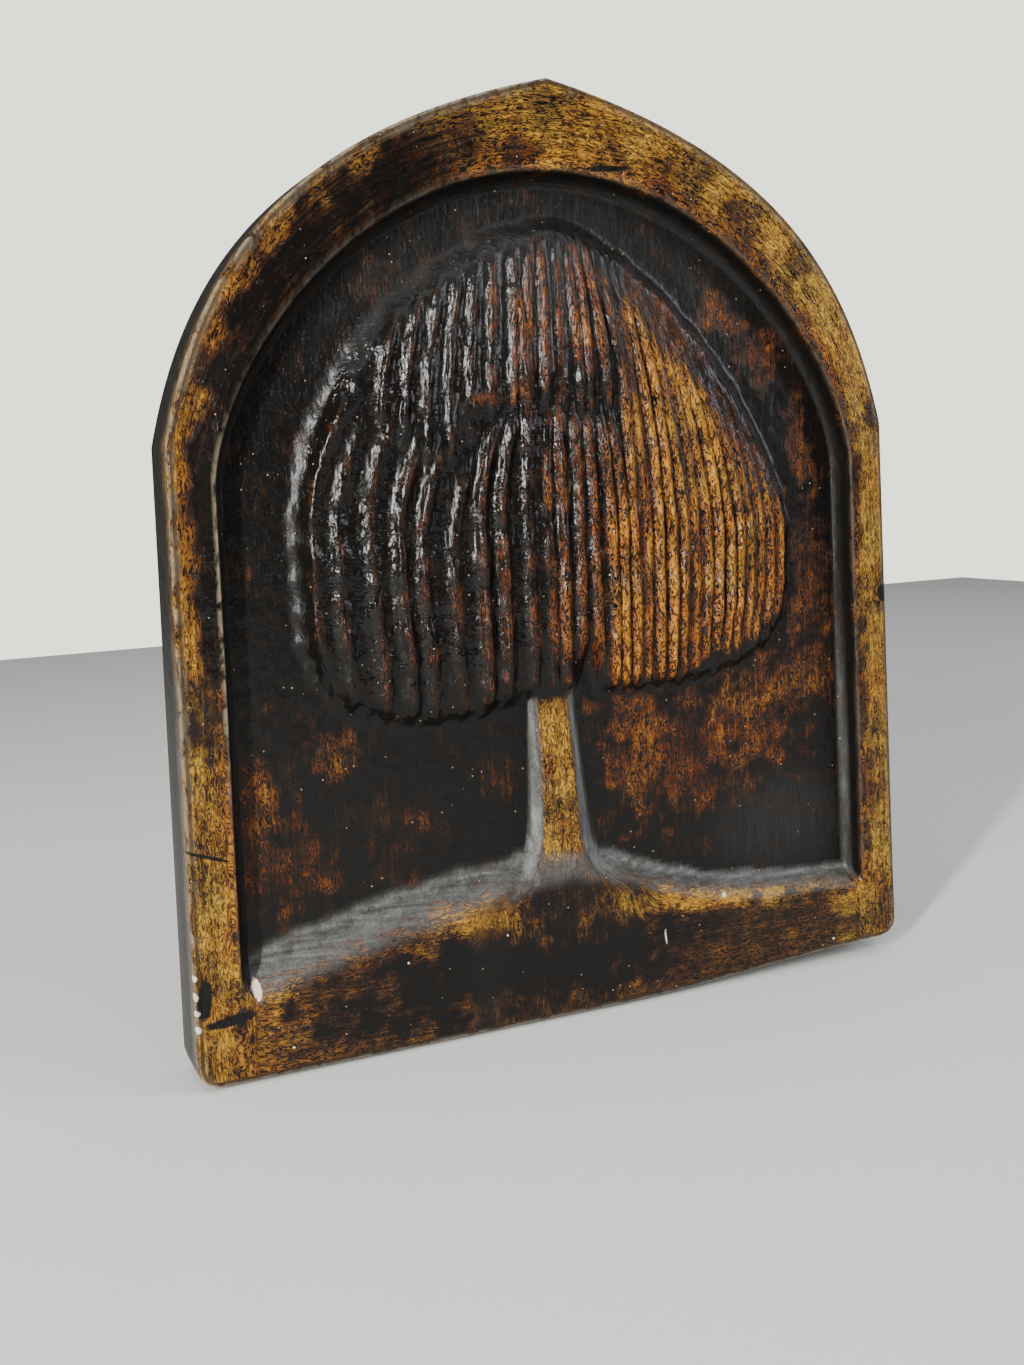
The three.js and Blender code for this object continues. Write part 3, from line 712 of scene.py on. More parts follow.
def add_sides(casting, panel, rows, field):
    """The worn arris, the tapered sides and the flat back."""
    foot_right = [row[-1] for row in reversed(rows[:-1])]
    foot_left = [row[0] for row in rows[:-1]]
    loop = np.concatenate([rows[-1], foot_right, field[0, ::-1], foot_left]).astype(int)
    places = np.concatenate(casting.places)[loop][:, [0, 2]]
    lacquers = np.concatenate(casting.values["lacquer"])[loop]
    lacquer = np.clip(mix(lacquers, 0.6, 0.4), 0.0, 1.0)
    along = distances_along(places)
    last = loop
    for degrees in (30, 60, 90):
        turn = math.radians(degrees)
        points = grown(places, panel.arris * math.sin(turn), closed=True)
        out = panel.thickness - panel.arris * (1 - math.cos(turn))
        brush = brush_places(-out, along, "side")
        # The middle of the rounded arris is painted pale: partly rubbed edge, partly painted highlight
        wear_and_highlight = 0.55 if degrees == 60 else 0.2
        row = casting.add_row(points, out, brush, lacquer=lacquer, warmth=0.2, edge=wear_and_highlight)
        casting.add_band(last, row, closed=True)
        last = row
    side_top = panel.thickness - panel.arris
    for step in range(1, SIDE_STEPS + 1):
        share = step / SIDE_STEPS
        points = grown(places, panel.arris + panel.side_draft * share, closed=True)
        out = mix(side_top, BACK_ARRIS, share)
        brush = brush_places(-out, along, "side")
        # The sides carry a faint grey of dust and painted sheen, a painted reflection at a grazing angle
        row = casting.add_row(points, out, brush, lacquer=0.95, warmth=0.3, haze=0.07, dryness=1.0)
        casting.add_band(last, row, closed=True)
        last = row
    edge = grown(places, panel.arris + panel.side_draft - BACK_ARRIS, closed=True)
    centre = np.array([0.0, panel.mount_height])
    for share, lacquer in BACK_ROWS:
        points = mix(centre, edge, share)
        brush = brush_places(*points.T, "back")
        row = casting.add_row(points, 0.0, brush, lacquer=lacquer)
        bands = casting.add_band(last, row, closed=True)
        if share < 1.0:
            casting.bare.extend([True] * bands)
        last = row
    casting.faces.append(last.tolist())
    casting.bare.append(True)


def casting_mesh(panel, willow):
    """The casting as one closed mesh, before its strands are raised."""
    outer_edge, inner_line = rail_edges(panel)
    outer_line = grown(outer_edge, -panel.arris)
    half = len(inner_line) // 2
    shoulder = int(np.argmax(inner_line[: half + 1, 1] > FIELD_SHOULDER))
    stretches = [
        even_places(inner_line, 0, shoulder, FIELD_ROWS)[:-1],
        even_places(inner_line, shoulder, 2 * half - shoulder, FIELD_COLUMNS)[:-1],
        even_places(inner_line, 2 * half - shoulder, 2 * half, FIELD_ROWS),
    ]
    spots = np.concatenate(stretches)
    inner = at_places(inner_line, spots)
    outer = at_places(outer_line, spots)
    inward = (inner - outer) / np.linalg.norm(inner - outer, axis=1, keepdims=True)
    casting = Casting()
    field, relief = add_field(casting, panel, willow, inner + inward * (panel.wall_lean + panel.cove))
    rows = add_frame(casting, panel, inner, outer, field, relief)
    add_sides(casting, panel, rows, field)
    x, out, z = np.concatenate(casting.places).T
    to_right = smooth(x, FOOT_LIFT["left"], FOOT_LIFT["right"])
    z = z + FOOT_LIFT["rise"] * to_right * (1 - smooth(z, 0.0, FOOT_LIFT["fade"]))
    mesh = bpy.data.meshes.new("willow_plaque")
    mesh.from_pydata(np.column_stack([x, -out, z - panel.mount_height]).tolist(), [], casting.faces)
    for name, rows_of_values in casting.values.items():
        attribute = mesh.attributes.new(name, "FLOAT", "POINT")
        attribute.data.foreach_set("value", np.concatenate(rows_of_values).astype(np.float32))
    attribute = mesh.attributes.new("brush", "FLOAT_VECTOR", "POINT")
    attribute.data.foreach_set("vector", np.concatenate(casting.brush).astype(np.float32).ravel())
    bare = np.zeros(len(casting.faces), bool)
    bare[len(bare) - len(casting.bare) :] = casting.bare
    mesh.attributes.new("bare_back", "BOOLEAN", "FACE").data.foreach_set("value", bare)
    mesh.polygons.foreach_set("use_smooth", np.ones(len(casting.faces), bool))
    mesh.validate()
    return mesh


# Strands: the step along one, the lengths over which it swells and thins, where the skirt and tuft have them,
# where they close up, the crook at their heads, and where the outer ones stop short
STRAND_STEP = 1.2 * MM
STRAND_HEAD = 15 * MM
STRAND_END = 10 * MM
SKIRT_SPAN = (-76.8 * MM, 80 * MM)
TUFT_SPAN = (-54 * MM, 20 * MM)
PITCH_CHANGE = (-45 * MM, 30 * MM)
CROOK = {"left": 7.5 * MM, "right": 3 * MM, "length": 32 * MM}
SHORT_LEFT = {"to": -70 * MM, "tip": 117 * MM}
SHORT_RIGHT = {"from": 47 * MM, "tip": 109 * MM}

# Locks that cross the tier, from head to tip
TIER_LOCKS = [
    [(-12, 227), (-10.5, 205), (-10, 185), (-10, 164)],
    [(-13, 192), (-22, 192.5), (-30, 188), (-35, 179)],
]


def graded(left, right, x):
    """A value that changes from left to right across the crown."""
    return mix(left, right, smooth(x, *PITCH_CHANGE))


def strand_feet(span, left, right):
    """Where strands stand side by side: wide apart on the left, close on the right."""
    feet = []
    x = span[0]
    while x <= span[1]:
        pitch = graded(left, right, x)
        feet.append(x + 0.13 * pitch * math.sin(4700 * x))
        x += pitch
    return feet


def skirt_strand(willow, foot):
    """A strand of the skirt: out of the tier above with a crook, then down along the crown's fan."""
    side = -1 if foot < 0 else 1
    fraction = abs(foot) / willow.crown_half_width
    free = foot > TUFT_RIGHT
    uneven = 3 * MM * math.sin(2100 * foot)
    head = crown_edge(willow, foot, 1) - 3 * MM if free else tier_height(foot) + 2 * MM + uneven
    tip = crown_edge(willow, foot, -1) + 0.5 * MM
    if foot < SHORT_LEFT["to"]:
        tip = SHORT_LEFT["tip"]
    if foot > SHORT_RIGHT["from"]:
        tip = max(tip, SHORT_RIGHT["tip"] + 0.5 * uneven)
    crook = 0.0 if free else CROOK["left" if side < 0 else "right"] * min(1.0, 4 * fraction)
    hold = 0.4 + 0.6 * fraction**2
    path = []
    for z in np.arange(head, tip, -STRAND_STEP):
        fan = foot * crown_fullness(willow, max(z, 120 * MM), side) ** hold
        bend = crook * (1 - smooth(head - z, -0.3 * CROOK["length"], CROOK["length"]))
        sway = 0.25 * MM * math.sin(z / (11 * MM) + 900 * foot)
        path.append((fan - side * bend + sway, z))
    return path


def tuft_strand(willow, foot):
    """A strand of the tuft: short, spreading from the crown's upper edge to the tier."""
    spread = 0.2 if foot < 0 else 0.45
    head = crown_edge(willow, foot * (1 - spread), 1) - 3 * MM
    tip = tier_height(foot) - (3 * MM + 3 * MM * math.sin(1700 * foot))
    path = []
    for z in np.arange(head, tip, -STRAND_STEP):
        share = (head - z) / (head - tip)
        sway = 0.25 * MM * math.sin(z / (9 * MM) + 700 * foot)
        path.append((foot - spread * foot * (1 - share) ** 2 + sway, z))
    return path


def tier_lock(points):
    """A lock that crosses the tier, as evenly spaced points."""
    line = np.array(points) * MM
    length = np.linalg.norm(np.diff(line, axis=0), axis=1).sum()
    places = even_places(line, 0, len(line) - 1, int(length / STRAND_STEP))
    return [tuple(point) for point in at_places(line, places)]


def strand_lines(panel, willow):
    """Every strand as a line in the plane of the back, with its width, swell and slimness at each point."""
    strands = []
    for foot in strand_feet(SKIRT_SPAN, willow.pitch_left, willow.pitch_right):
        strands.append((graded(willow.pitch_left, willow.pitch_right, foot), skirt_strand(willow, foot)))
    for foot in strand_feet(TUFT_SPAN, willow.tuft_pitch, willow.pitch_right):
        strands.append((graded(willow.tuft_pitch, willow.pitch_right, foot), tuft_strand(willow, foot)))
    strands += [(willow.tuft_pitch, tier_lock(points)) for points in TIER_LOCKS]
    points = []
    edges = []
    values = {"half_width": [], "swell": [], "slimness": []}
    for pitch, path in strands:
        first = len(points)
        length = STRAND_STEP * (len(path) - 1)
        uneven = 1 + graded(0.2, 0.45, path[-1][0]) * math.sin(1900 * path[-1][0] + 1.0)
        for step, (x, z) in enumerate(path):
            from_head = STRAND_STEP * step
            ends = smooth(from_head, -1 * MM, STRAND_HEAD) * smooth(length - from_head, -6 * MM, STRAND_END)
            beads = 1 + 0.14 * math.sin(z / (3.4 * MM) + 5000 * path[-1][0]) + 0.05 * math.sin(z / (1.3 * MM))
            points.append((x, 0.0, z - panel.mount_height))
            values["half_width"].append(0.5 * pitch * mix(0.75, 1.0, ends))
            low = mix(1.0, 0.78, smooth(x, -14 * MM, 4 * MM))
            values["swell"].append(float(low * uneven * beads * mix(0.1, 1.0, ends)))
            values["slimness"].append(float(graded(0.42, 0.6, x)))
        edges += [(i, i + 1) for i in range(first, len(points) - 1)]
    mesh = bpy.data.meshes.new("strand_lines")
    mesh.from_pydata(points, edges, [])
    for name, known in values.items():
        mesh.attributes.new(name, "FLOAT", "POINT").data.foreach_set("value", known)
    return mesh


def put(tree, kind, inputs=None, **settings):
    """Adds a node, sets its settings, and fills its inputs with values or links."""
    made = tree.nodes.new(kind)
    for name, value in settings.items():
        setattr(made, name, value)
    for key, value in (inputs or {}).items():
        socket = made.inputs[key]
        if isinstance(value, bpy.types.NodeSocket):
            tree.links.new(value, socket)
        else:
            socket.default_value = value
    return made


def sum_up(tree, operation, one, two=0.0, clamp=False):
    """A Math node's result."""
    return put(tree, "ShaderNodeMath", {0: one, 1: two}, operation=operation, use_clamp=clamp).outputs[0]


def named_field(tree, name):
    """A named value of the geometry."""
    return put(tree, "GeometryNodeInputNamedAttribute", {"Name": name}, data_type="FLOAT").outputs[0]


def strand_tree():
    """Geometry Nodes that raise the strands and the hand-worked lumps, and give both materials."""
    tree = bpy.data.node_groups.new("Willow strands", "GeometryNodeTree")
    sockets = [
        ("Geometry", "NodeSocketGeometry"), ("Strand lines", "NodeSocketObject"),
        ("Strand relief", "NodeSocketFloat"), ("Lump height", "NodeSocketFloat"),
        ("Lump size", "NodeSocketFloat"), ("Seed", "NodeSocketFloat"),
        ("Lacquer", "NodeSocketMaterial"), ("Bare plaster", "NodeSocketMaterial"),
    ]
    for name, kind in sockets:
        tree.interface.new_socket(name=name, in_out="INPUT", socket_type=kind)
    tree.interface.new_socket(name="Geometry", in_out="OUTPUT", socket_type="NodeSocketGeometry")
    given = put(tree, "NodeGroupInput").outputs
    position = put(tree, "GeometryNodeInputPosition").outputs[0]
    flatten = put(tree, "ShaderNodeVectorMath", {0: position, 1: (1.0, 0.0, 1.0)}, operation="MULTIPLY")
    flat = flatten.outputs[0]
    lines = put(tree, "GeometryNodeObjectInfo", {"Object": given["Strand lines"]}).outputs["Geometry"]
    near = put(tree, "GeometryNodeProximity", {0: lines, 2: flat}, target_element="EDGES").outputs
    index = put(tree, "GeometryNodeSampleNearest", {0: lines, 1: near["Position"]}, domain="POINT").outputs[0]

    def on_line(name):
        inputs = {0: lines, 1: named_field(tree, name), 2: index}
        return put(tree, "GeometryNodeSampleIndex", inputs, data_type="FLOAT", domain="POINT").outputs[0]

    away = sum_up(tree, "DIVIDE", near["Distance"], on_line("half_width"), clamp=True)
    foot = sum_up(tree, "SUBTRACT", 1.0, sum_up(tree, "POWER", away, 2.0))
    bent = sum_up(tree, "POWER", sum_up(tree, "DIVIDE", away, on_line("slimness")), 2.0)
    back = sum_up(tree, "EXPONENT", sum_up(tree, "MULTIPLY", bent, -1.0))
    ridge = sum_up(tree, "ADD", sum_up(tree, "MULTIPLY", back, 0.7), sum_up(tree, "MULTIPLY", foot, 0.3))
    ridge = sum_up(tree, "MULTIPLY", ridge, on_line("swell"))
    ridge = sum_up(tree, "MULTIPLY", ridge, named_field(tree, "crown_face"))
    strands = sum_up(tree, "MULTIPLY", ridge, given["Strand relief"])
    rate = sum_up(tree, "DIVIDE", 1.0, given["Lump size"])
    noise = put(
        tree, "ShaderNodeTexNoise",
        {"Vector": position, "W": given["Seed"], "Scale": rate, "Detail": 2.0, "Roughness": 0.55},
        noise_dimensions="4D",
    ).outputs[0]
    lumps = sum_up(tree, "MULTIPLY", sum_up(tree, "SUBTRACT", noise, 0.5), given["Lump height"])
    lumps = sum_up(tree, "MULTIPLY", lumps, sum_up(tree, "MULTIPLY", named_field(tree, "lumpiness"), 2.0))
    raised = sum_up(tree, "ADD", strands, lumps)
    offset = put(tree, "ShaderNodeCombineXYZ", {1: sum_up(tree, "MULTIPLY", raised, -1.0)}).outputs[0]
    shape = put(tree, "GeometryNodeSetPosition", {"Geometry": given["Geometry"], "Offset": offset}).outputs[0]
    shape = put(
        tree, "GeometryNodeStoreNamedAttribute", {"Geometry": shape, "Name": "strand_ridge", "Value": ridge},
        data_type="FLOAT", domain="POINT",
    ).outputs[0]
    shape = put(tree, "GeometryNodeRealizeInstances", {0: shape}).outputs[0]
    shape = put(tree, "GeometryNodeSetMaterial", {0: shape, "Material": given["Lacquer"]}).outputs[0]
    bare = put(tree, "GeometryNodeInputNamedAttribute", {"Name": "bare_back"}, data_type="BOOLEAN").outputs[0]
    inputs = {0: shape, "Selection": bare, "Material": given["Bare plaster"]}
    shape = put(tree, "GeometryNodeSetMaterial", inputs).outputs[0]
    put(tree, "NodeGroupOutput", {0: shape})
    return tree


def set_input(modifier, name, value):
    """Sets a Geometry Nodes modifier's input through its socket's identifier."""
    for item in modifier.node_group.interface.items_tree:
        if item.name == name and item.in_out == "INPUT":
            modifier[item.identifier] = value
            return
    raise KeyError(name)


def shader_group(name, inputs, outputs):
    """An empty shader node group with named sockets, its inputs and a way to close it."""
    tree = bpy.data.node_groups.new(name, "ShaderNodeTree")
    for label, kind, value in inputs:
        socket = tree.interface.new_socket(name=label, in_out="INPUT", socket_type=kind)
        if value is not None:
            socket.default_value = value
    for label, kind in outputs:
        tree.interface.new_socket(name=label, in_out="OUTPUT", socket_type=kind)
    return tree, put(tree, "NodeGroupInput").outputs


def ramp(tree, value, stops):
    """A colour ramp's result."""
    node = put(tree, "ShaderNodeValToRGB", {0: value})
    elements = node.color_ramp.elements
    while len(elements) < len(stops):
        elements.new(0.5)
    for element, (place, colour) in zip(elements, stops):
        element.position = place
        element.color = (*colour, 1.0)
    return node.outputs[0]


def remap(tree, value, low, high, new_low=0.0, new_high=1.0):
    """A value taken from one range to another, with soft ends."""
    inputs = {0: value, 1: low, 2: high, 3: new_low, 4: new_high}
    return put(tree, "ShaderNodeMapRange", inputs, interpolation_type="SMOOTHSTEP").outputs[0]


def noise_of(tree, vector, scale, detail=4.0, roughness=0.55, distortion=0.0):
    """A noise pattern's value."""
    inputs = {"Vector": vector, "Scale": scale, "Detail": detail}
    inputs |= {"Roughness": roughness, "Distortion": distortion}
    return put(tree, "ShaderNodeTexNoise", inputs).outputs[0]


def around(tree, value, middle, amount):
    """How far a value lies from a middle, scaled."""
    return sum_up(tree, "MULTIPLY", sum_up(tree, "SUBTRACT", value, middle), amount)


def mix_colour(tree, share, one, two):
    """Two colours mixed by a share."""
    inputs = {"Factor_Float": share, "A_Color": one, "B_Color": two}
    node = put(tree, "ShaderNodeMix", None, data_type="RGBA")
    by_identifier = {socket.identifier: socket for socket in node.inputs}
    for key, value in inputs.items():
        socket = by_identifier[key]
        if isinstance(value, bpy.types.NodeSocket):
            tree.links.new(value, socket)
        else:
            socket.default_value = value if key == "Factor_Float" else (*value, 1.0)
    return next(socket for socket in node.outputs if socket.identifier == "Result_Color")


def vein_group():
    """Fine wormy lines that run along the brush: the marks of lacquer wiped while wet."""
    tree, given = shader_group(
        "Brush veins",
        [("Brush", "NodeSocketVector", None),
         ("Width", "NodeSocketFloat", 0.68), ("Length", "NodeSocketFloat", 2.3)],
        [("Veins", "NodeSocketFloat"), ("Streaks", "NodeSocketFloat")],
    )
    parts = put(tree, "ShaderNodeSeparateXYZ", {0: given["Brush"]}).outputs
    across = sum_up(tree, "DIVIDE", sum_up(tree, "MULTIPLY", parts[0], 1000.0), given["Width"])
    along = sum_up(tree, "DIVIDE", sum_up(tree, "MULTIPLY", parts[1], 1000.0), given["Length"])
    place = put(tree, "ShaderNodeCombineXYZ", {0: across, 1: along, 2: parts[2]}).outputs[0]
    worm = noise_of(tree, place, 0.62, detail=2.0, roughness=0.5, distortion=1.3)
    lines = sum_up(tree, "PINGPONG", sum_up(tree, "MULTIPLY", worm, 4.0), 0.5)
    veins = remap(tree, lines, 0.12, 0.3, 1.0, 0.0)
    drawn_out = sum_up(tree, "MULTIPLY", along, 0.22)
    slow = put(tree, "ShaderNodeCombineXYZ", {0: across, 1: drawn_out, 2: parts[2]}).outputs[0]
    streaks = noise_of(tree, slow, 0.6, detail=4.0, roughness=0.62)
    put(tree, "NodeGroupOutput", {0: veins, 1: streaks})
    return tree


def mark_group():
    """A small mark with a ragged rim."""
    tree, given = shader_group(
        "Small mark",
        [("Position", "NodeSocketVector", None), ("Place", "NodeSocketVector", (0.0, 0.0, 0.0)),
         ("Reach", "NodeSocketVector", (1.0, 1.0, 1.0)), ("Turn", "NodeSocketFloat", 0.0),
         ("Rag", "NodeSocketFloat", 0.5)],
        [("Mark", "NodeSocketFloat")],
    )
    away = put(tree, "ShaderNodeVectorMath", {0: given["Position"], 1: given["Place"]}, operation="SUBTRACT")
    turned = put(tree, "ShaderNodeVectorRotate", {"Vector": away.outputs[0], "Angle": given["Turn"]},
                 rotation_type="Y_AXIS")
    shares = put(tree, "ShaderNodeVectorMath", {0: turned.outputs[0], 1: given["Reach"]}, operation="DIVIDE")
    distance = put(tree, "ShaderNodeVectorMath", {0: shares.outputs[0]}, operation="LENGTH").outputs["Value"]
    ragged = sum_up(tree, "ADD", distance, around(tree, given["Rag"], 0.5, 0.7))
    put(tree, "NodeGroupOutput", {0: remap(tree, ragged, 0.85, 1.05, 1.0, 0.0)})
    return tree


def grain_group():
    """Fine grain, pits, slow mottling and specks of dust, shared by the lacquer and the bare plaster."""
    tree, given = shader_group(
        "Cast grain",
        [("Position", "NodeSocketVector", None), ("Grain size", "NodeSocketFloat", 1.0)],
        [("Grain", "NodeSocketFloat"), ("Pits", "NodeSocketFloat"), ("Mottle", "NodeSocketFloat"),
         ("Dust", "NodeSocketFloat")],
    )
    rate = sum_up(tree, "DIVIDE", 1.0, given["Grain size"])
    grain = noise_of(tree, given["Position"], rate, detail=5.0, roughness=0.6)
    pit_rate = sum_up(tree, "MULTIPLY", rate, 0.7)
    cells = put(tree, "ShaderNodeTexVoronoi", {"Vector": given["Position"], "Scale": pit_rate})
    pits = remap(tree, cells.outputs["Distance"], 0.08, 0.22, 1.0, 0.0)
    mottle_rate = sum_up(tree, "MULTIPLY", rate, 0.08)
    mottle = noise_of(tree, given["Position"], mottle_rate, detail=6.0, roughness=0.62)
    spots = put(tree, "ShaderNodeTexVoronoi", {"Vector": given["Position"], "Scale": 0.3})
    few = remap(tree, put(tree, "ShaderNodeSeparateXYZ", {0: spots.outputs["Color"]}).outputs[0], 0.55, 0.6)
    dust = sum_up(tree, "MULTIPLY", remap(tree, spots.outputs["Distance"], 0.04, 0.085, 0.9, 0.0), few)
    put(tree, "NodeGroupOutput", {0: grain, 1: pits, 2: mottle, 3: dust})
    return tree


def new_material(name):
    """A material with only its shader and output."""
    material = bpy.data.materials.new(name)
    material.use_nodes = True
    return material, material.node_tree, material.node_tree.nodes["Principled BSDF"]


def millimetre_position(tree):
    """The place on the piece, in millimetres."""
    place = put(tree, "ShaderNodeTexCoord").outputs["Object"]
    return put(tree, "ShaderNodeVectorMath", {0: place, "Scale": 1000.0}, operation="SCALE").outputs[0]


def value_of(tree, name):
    """A value carried by the mesh."""
    return put(tree, "ShaderNodeAttribute", attribute_name=name).outputs["Fac"]


def marks_mask(tree, panel, group, position, rag, marks):
    """Where any of a list of small marks lies."""
    mask = 0.0
    front = -panel.thickness / MM
    for mark in marks:
        made = put(tree, "ShaderNodeGroup", {}, node_tree=group)
        tree.links.new(position, made.inputs["Position"])
        tree.links.new(rag, made.inputs["Rag"])
        made.inputs["Place"].default_value = (mark.x, front + 1.0, mark.z - panel.mount_height / MM)
        made.inputs["Reach"].default_value = (mark.reach_x, mark.depth, mark.reach_z)
        made.inputs["Turn"].default_value = mark.turn
        mask = sum_up(tree, "MAXIMUM", mask, made.outputs["Mark"])
    return mask


# How far each pattern thickens or thins the lacquer, and how much more of it lies between the strands
PATTERN_SHARES = {"mottle": 1.1, "blotch": 0.6, "streaks": 0.9, "grain": 0.25}
HOLLOW_SHARE = 0.36

# The lacquer's roughness thin and thick, what dryness and dust add to it, and its shine
THIN_ROUGHNESS = 0.34
THICK_ROUGHNESS = 0.07
DRY_ROUGHNESS = 0.35
DUSTY_ROUGHNESS = 0.45
SPECULAR_LEVEL = 0.21

# Heights of the surface's small relief, in millimetres
PEBBLE_HEIGHTS = {"plain": 0.07, "crown": 0.11}
LUMP_HEIGHTS = {"plain": 0.3, "crown_adds": 0.4}
SMALL_RELIEF = {"streaks": 0.12, "line": -0.25, "chips": -0.8, "nicks": -0.5}


def lacquer_material(colours, panel, groups):
    """Mottled lacquer: gold or honey where wiped thin, through amber and rust to black where it pooled."""
    material, tree, shader = new_material("mottled_lacquer")
    position = millimetre_position(tree)
    brush = put(tree, "ShaderNodeAttribute", attribute_name="brush").outputs["Vector"]
    veins = put(tree, "ShaderNodeGroup", {}, node_tree=groups["veins"])
    tree.links.new(brush, veins.inputs["Brush"])
    grain = put(tree, "ShaderNodeGroup", {}, node_tree=groups["grain"])
    tree.links.new(position, grain.inputs["Position"])
    grain.inputs["Grain size"].default_value = 0.7
    ridge = value_of(tree, "strand_ridge")
    on_crown = value_of(tree, "crown_face")
    stretch = put(tree, "ShaderNodeVectorMath", {0: position, 1: (1.0, 1.0, 0.55)}, operation="MULTIPLY")
    upright = stretch.outputs[0]
    blotch = noise_of(tree, upright, 0.26, detail=5.0, roughness=0.68, distortion=0.5)
    streaks = veins.outputs["Streaks"]

    patterns = {"mottle": grain.outputs["Mottle"], "blotch": blotch, "streaks": streaks}
    patterns["grain"] = grain.outputs["Grain"]
    thickness = value_of(tree, "lacquer")
    for name, share in PATTERN_SHARES.items():
        thickness = sum_up(tree, "ADD", thickness, around(tree, patterns[name], 0.5, share))
    worn = sum_up(tree, "MULTIPLY", ridge, remap(tree, blotch, 0.36, 0.62, 0.02, 0.33))
    thickness = sum_up(tree, "SUBTRACT", thickness, worn)
    hollow = sum_up(tree, "MULTIPLY", remap(tree, ridge, 0.05, 0.45, 1.0, 0.0), on_crown)
    thickness = sum_up(tree, "ADD", thickness, sum_up(tree, "MULTIPLY", hollow, HOLLOW_SHARE))
    thin = remap(tree, thickness, 0.35, 0.85, 1.0, 0.15)
    crackle = sum_up(tree, "ADD", 0.48, sum_up(tree, "MULTIPLY", on_crown, 0.12))
    line = sum_up(tree, "MULTIPLY", sum_up(tree, "MULTIPLY", veins.outputs["Veins"], thin), crackle)
    thickness = sum_up(tree, "ADD", thickness, line, clamp=True)
    thick = [(0.72, colours.brown), (0.9, colours.black)]
    greenish = [(0.0, colours.gold), (0.24, colours.ochre), (0.5, colours.umber)] + thick
    warm = [(0.0, colours.honey), (0.24, colours.amber), (0.5, colours.rust)] + thick
    drift = noise_of(tree, position, 0.055, detail=3.0)
    warmth = sum_up(tree, "ADD", value_of(tree, "warmth"), around(tree, drift, 0.5, 1.6), clamp=True)
    colour = mix_colour(tree, warmth, ramp(tree, thickness, greenish), ramp(tree, thickness, warm))

    # Dust and painted grey sheen, broken up by the blotches, streaks and grain
    haze = sum_up(tree, "MULTIPLY", value_of(tree, "haze"), remap(tree, blotch, 0.3, 0.68, 0.5, 1.0))
    haze = sum_up(tree, "MULTIPLY", haze, remap(tree, streaks, 0.32, 0.68, 0.55, 1.25))
    speck = remap(tree, grain.outputs["Grain"], 0.4, 0.64, 0.75, 1.15)
    haze = sum_up(tree, "MULTIPLY", haze, speck, clamp=True)
    colour = mix_colour(tree, haze, colour, colours.haze)
    colour = mix_colour(tree, grain.outputs["Dust"], colour, colours.worn)
    # Pale arrises: partly rubbed lacquer, partly painted highlight
    rubbed_and_lit = sum_up(tree, "MULTIPLY", value_of(tree, "edge"), remap(tree, blotch, 0.4, 0.56, 0.0, 0.8))
    colour = mix_colour(tree, rubbed_and_lit, colour, colours.worn)
    rag = noise_of(tree, position, 1.3, detail=3.0)
    nicks = marks_mask(tree, panel, groups["mark"], position, rag, NICKS)
    colour = mix_colour(tree, nicks, colour, colours.black)
    chips = marks_mask(tree, panel, groups["mark"], position, rag, CHIPS)
    colour = mix_colour(tree, chips, colour, colours.plaster)
    tree.links.new(colour, shader.inputs["Base Color"])

    dull = sum_up(tree, "MAXIMUM", chips, sum_up(tree, "MULTIPLY", haze, 0.9), clamp=True)
    rough = remap(tree, thickness, 0.35, 0.9, THIN_ROUGHNESS, THICK_ROUGHNESS)
    rough = sum_up(tree, "ADD", rough, around(tree, streaks, 0.5, 0.1))
    dry = sum_up(tree, "MULTIPLY", value_of(tree, "dryness"), DRY_ROUGHNESS)
    rough = sum_up(tree, "ADD", rough, dry)
    rough = sum_up(tree, "ADD", rough, sum_up(tree, "MULTIPLY", dull, DUSTY_ROUGHNESS), clamp=True)
    tree.links.new(rough, shader.inputs["Roughness"])
    shader.inputs["Specular IOR Level"].default_value = SPECULAR_LEVEL

    pebble = noise_of(tree, position, 0.95, detail=1.0)
    lump = noise_of(tree, upright, 0.3, detail=1.0)
    pebbly = remap(tree, on_crown, 0.0, 0.5, PEBBLE_HEIGHTS["plain"], PEBBLE_HEIGHTS["crown"])
    lumpy = sum_up(tree, "MULTIPLY", on_crown, LUMP_HEIGHTS["crown_adds"])
    lumpy = sum_up(tree, "ADD", LUMP_HEIGHTS["plain"], lumpy)
    height = sum_up(tree, "MULTIPLY", pebble, pebbly)
    height = sum_up(tree, "ADD", height, sum_up(tree, "MULTIPLY", lump, lumpy))
    marks = {"streaks": streaks, "line": line, "chips": chips, "nicks": nicks}
    for name, amount in SMALL_RELIEF.items():
        height = sum_up(tree, "ADD", height, sum_up(tree, "MULTIPLY", marks[name], amount))
    bump = put(tree, "ShaderNodeBump", {"Strength": 1.0, "Distance": 1.0 * MM, "Height": height})
    tree.links.new(bump.outputs[0], shader.inputs["Normal"])
    return material


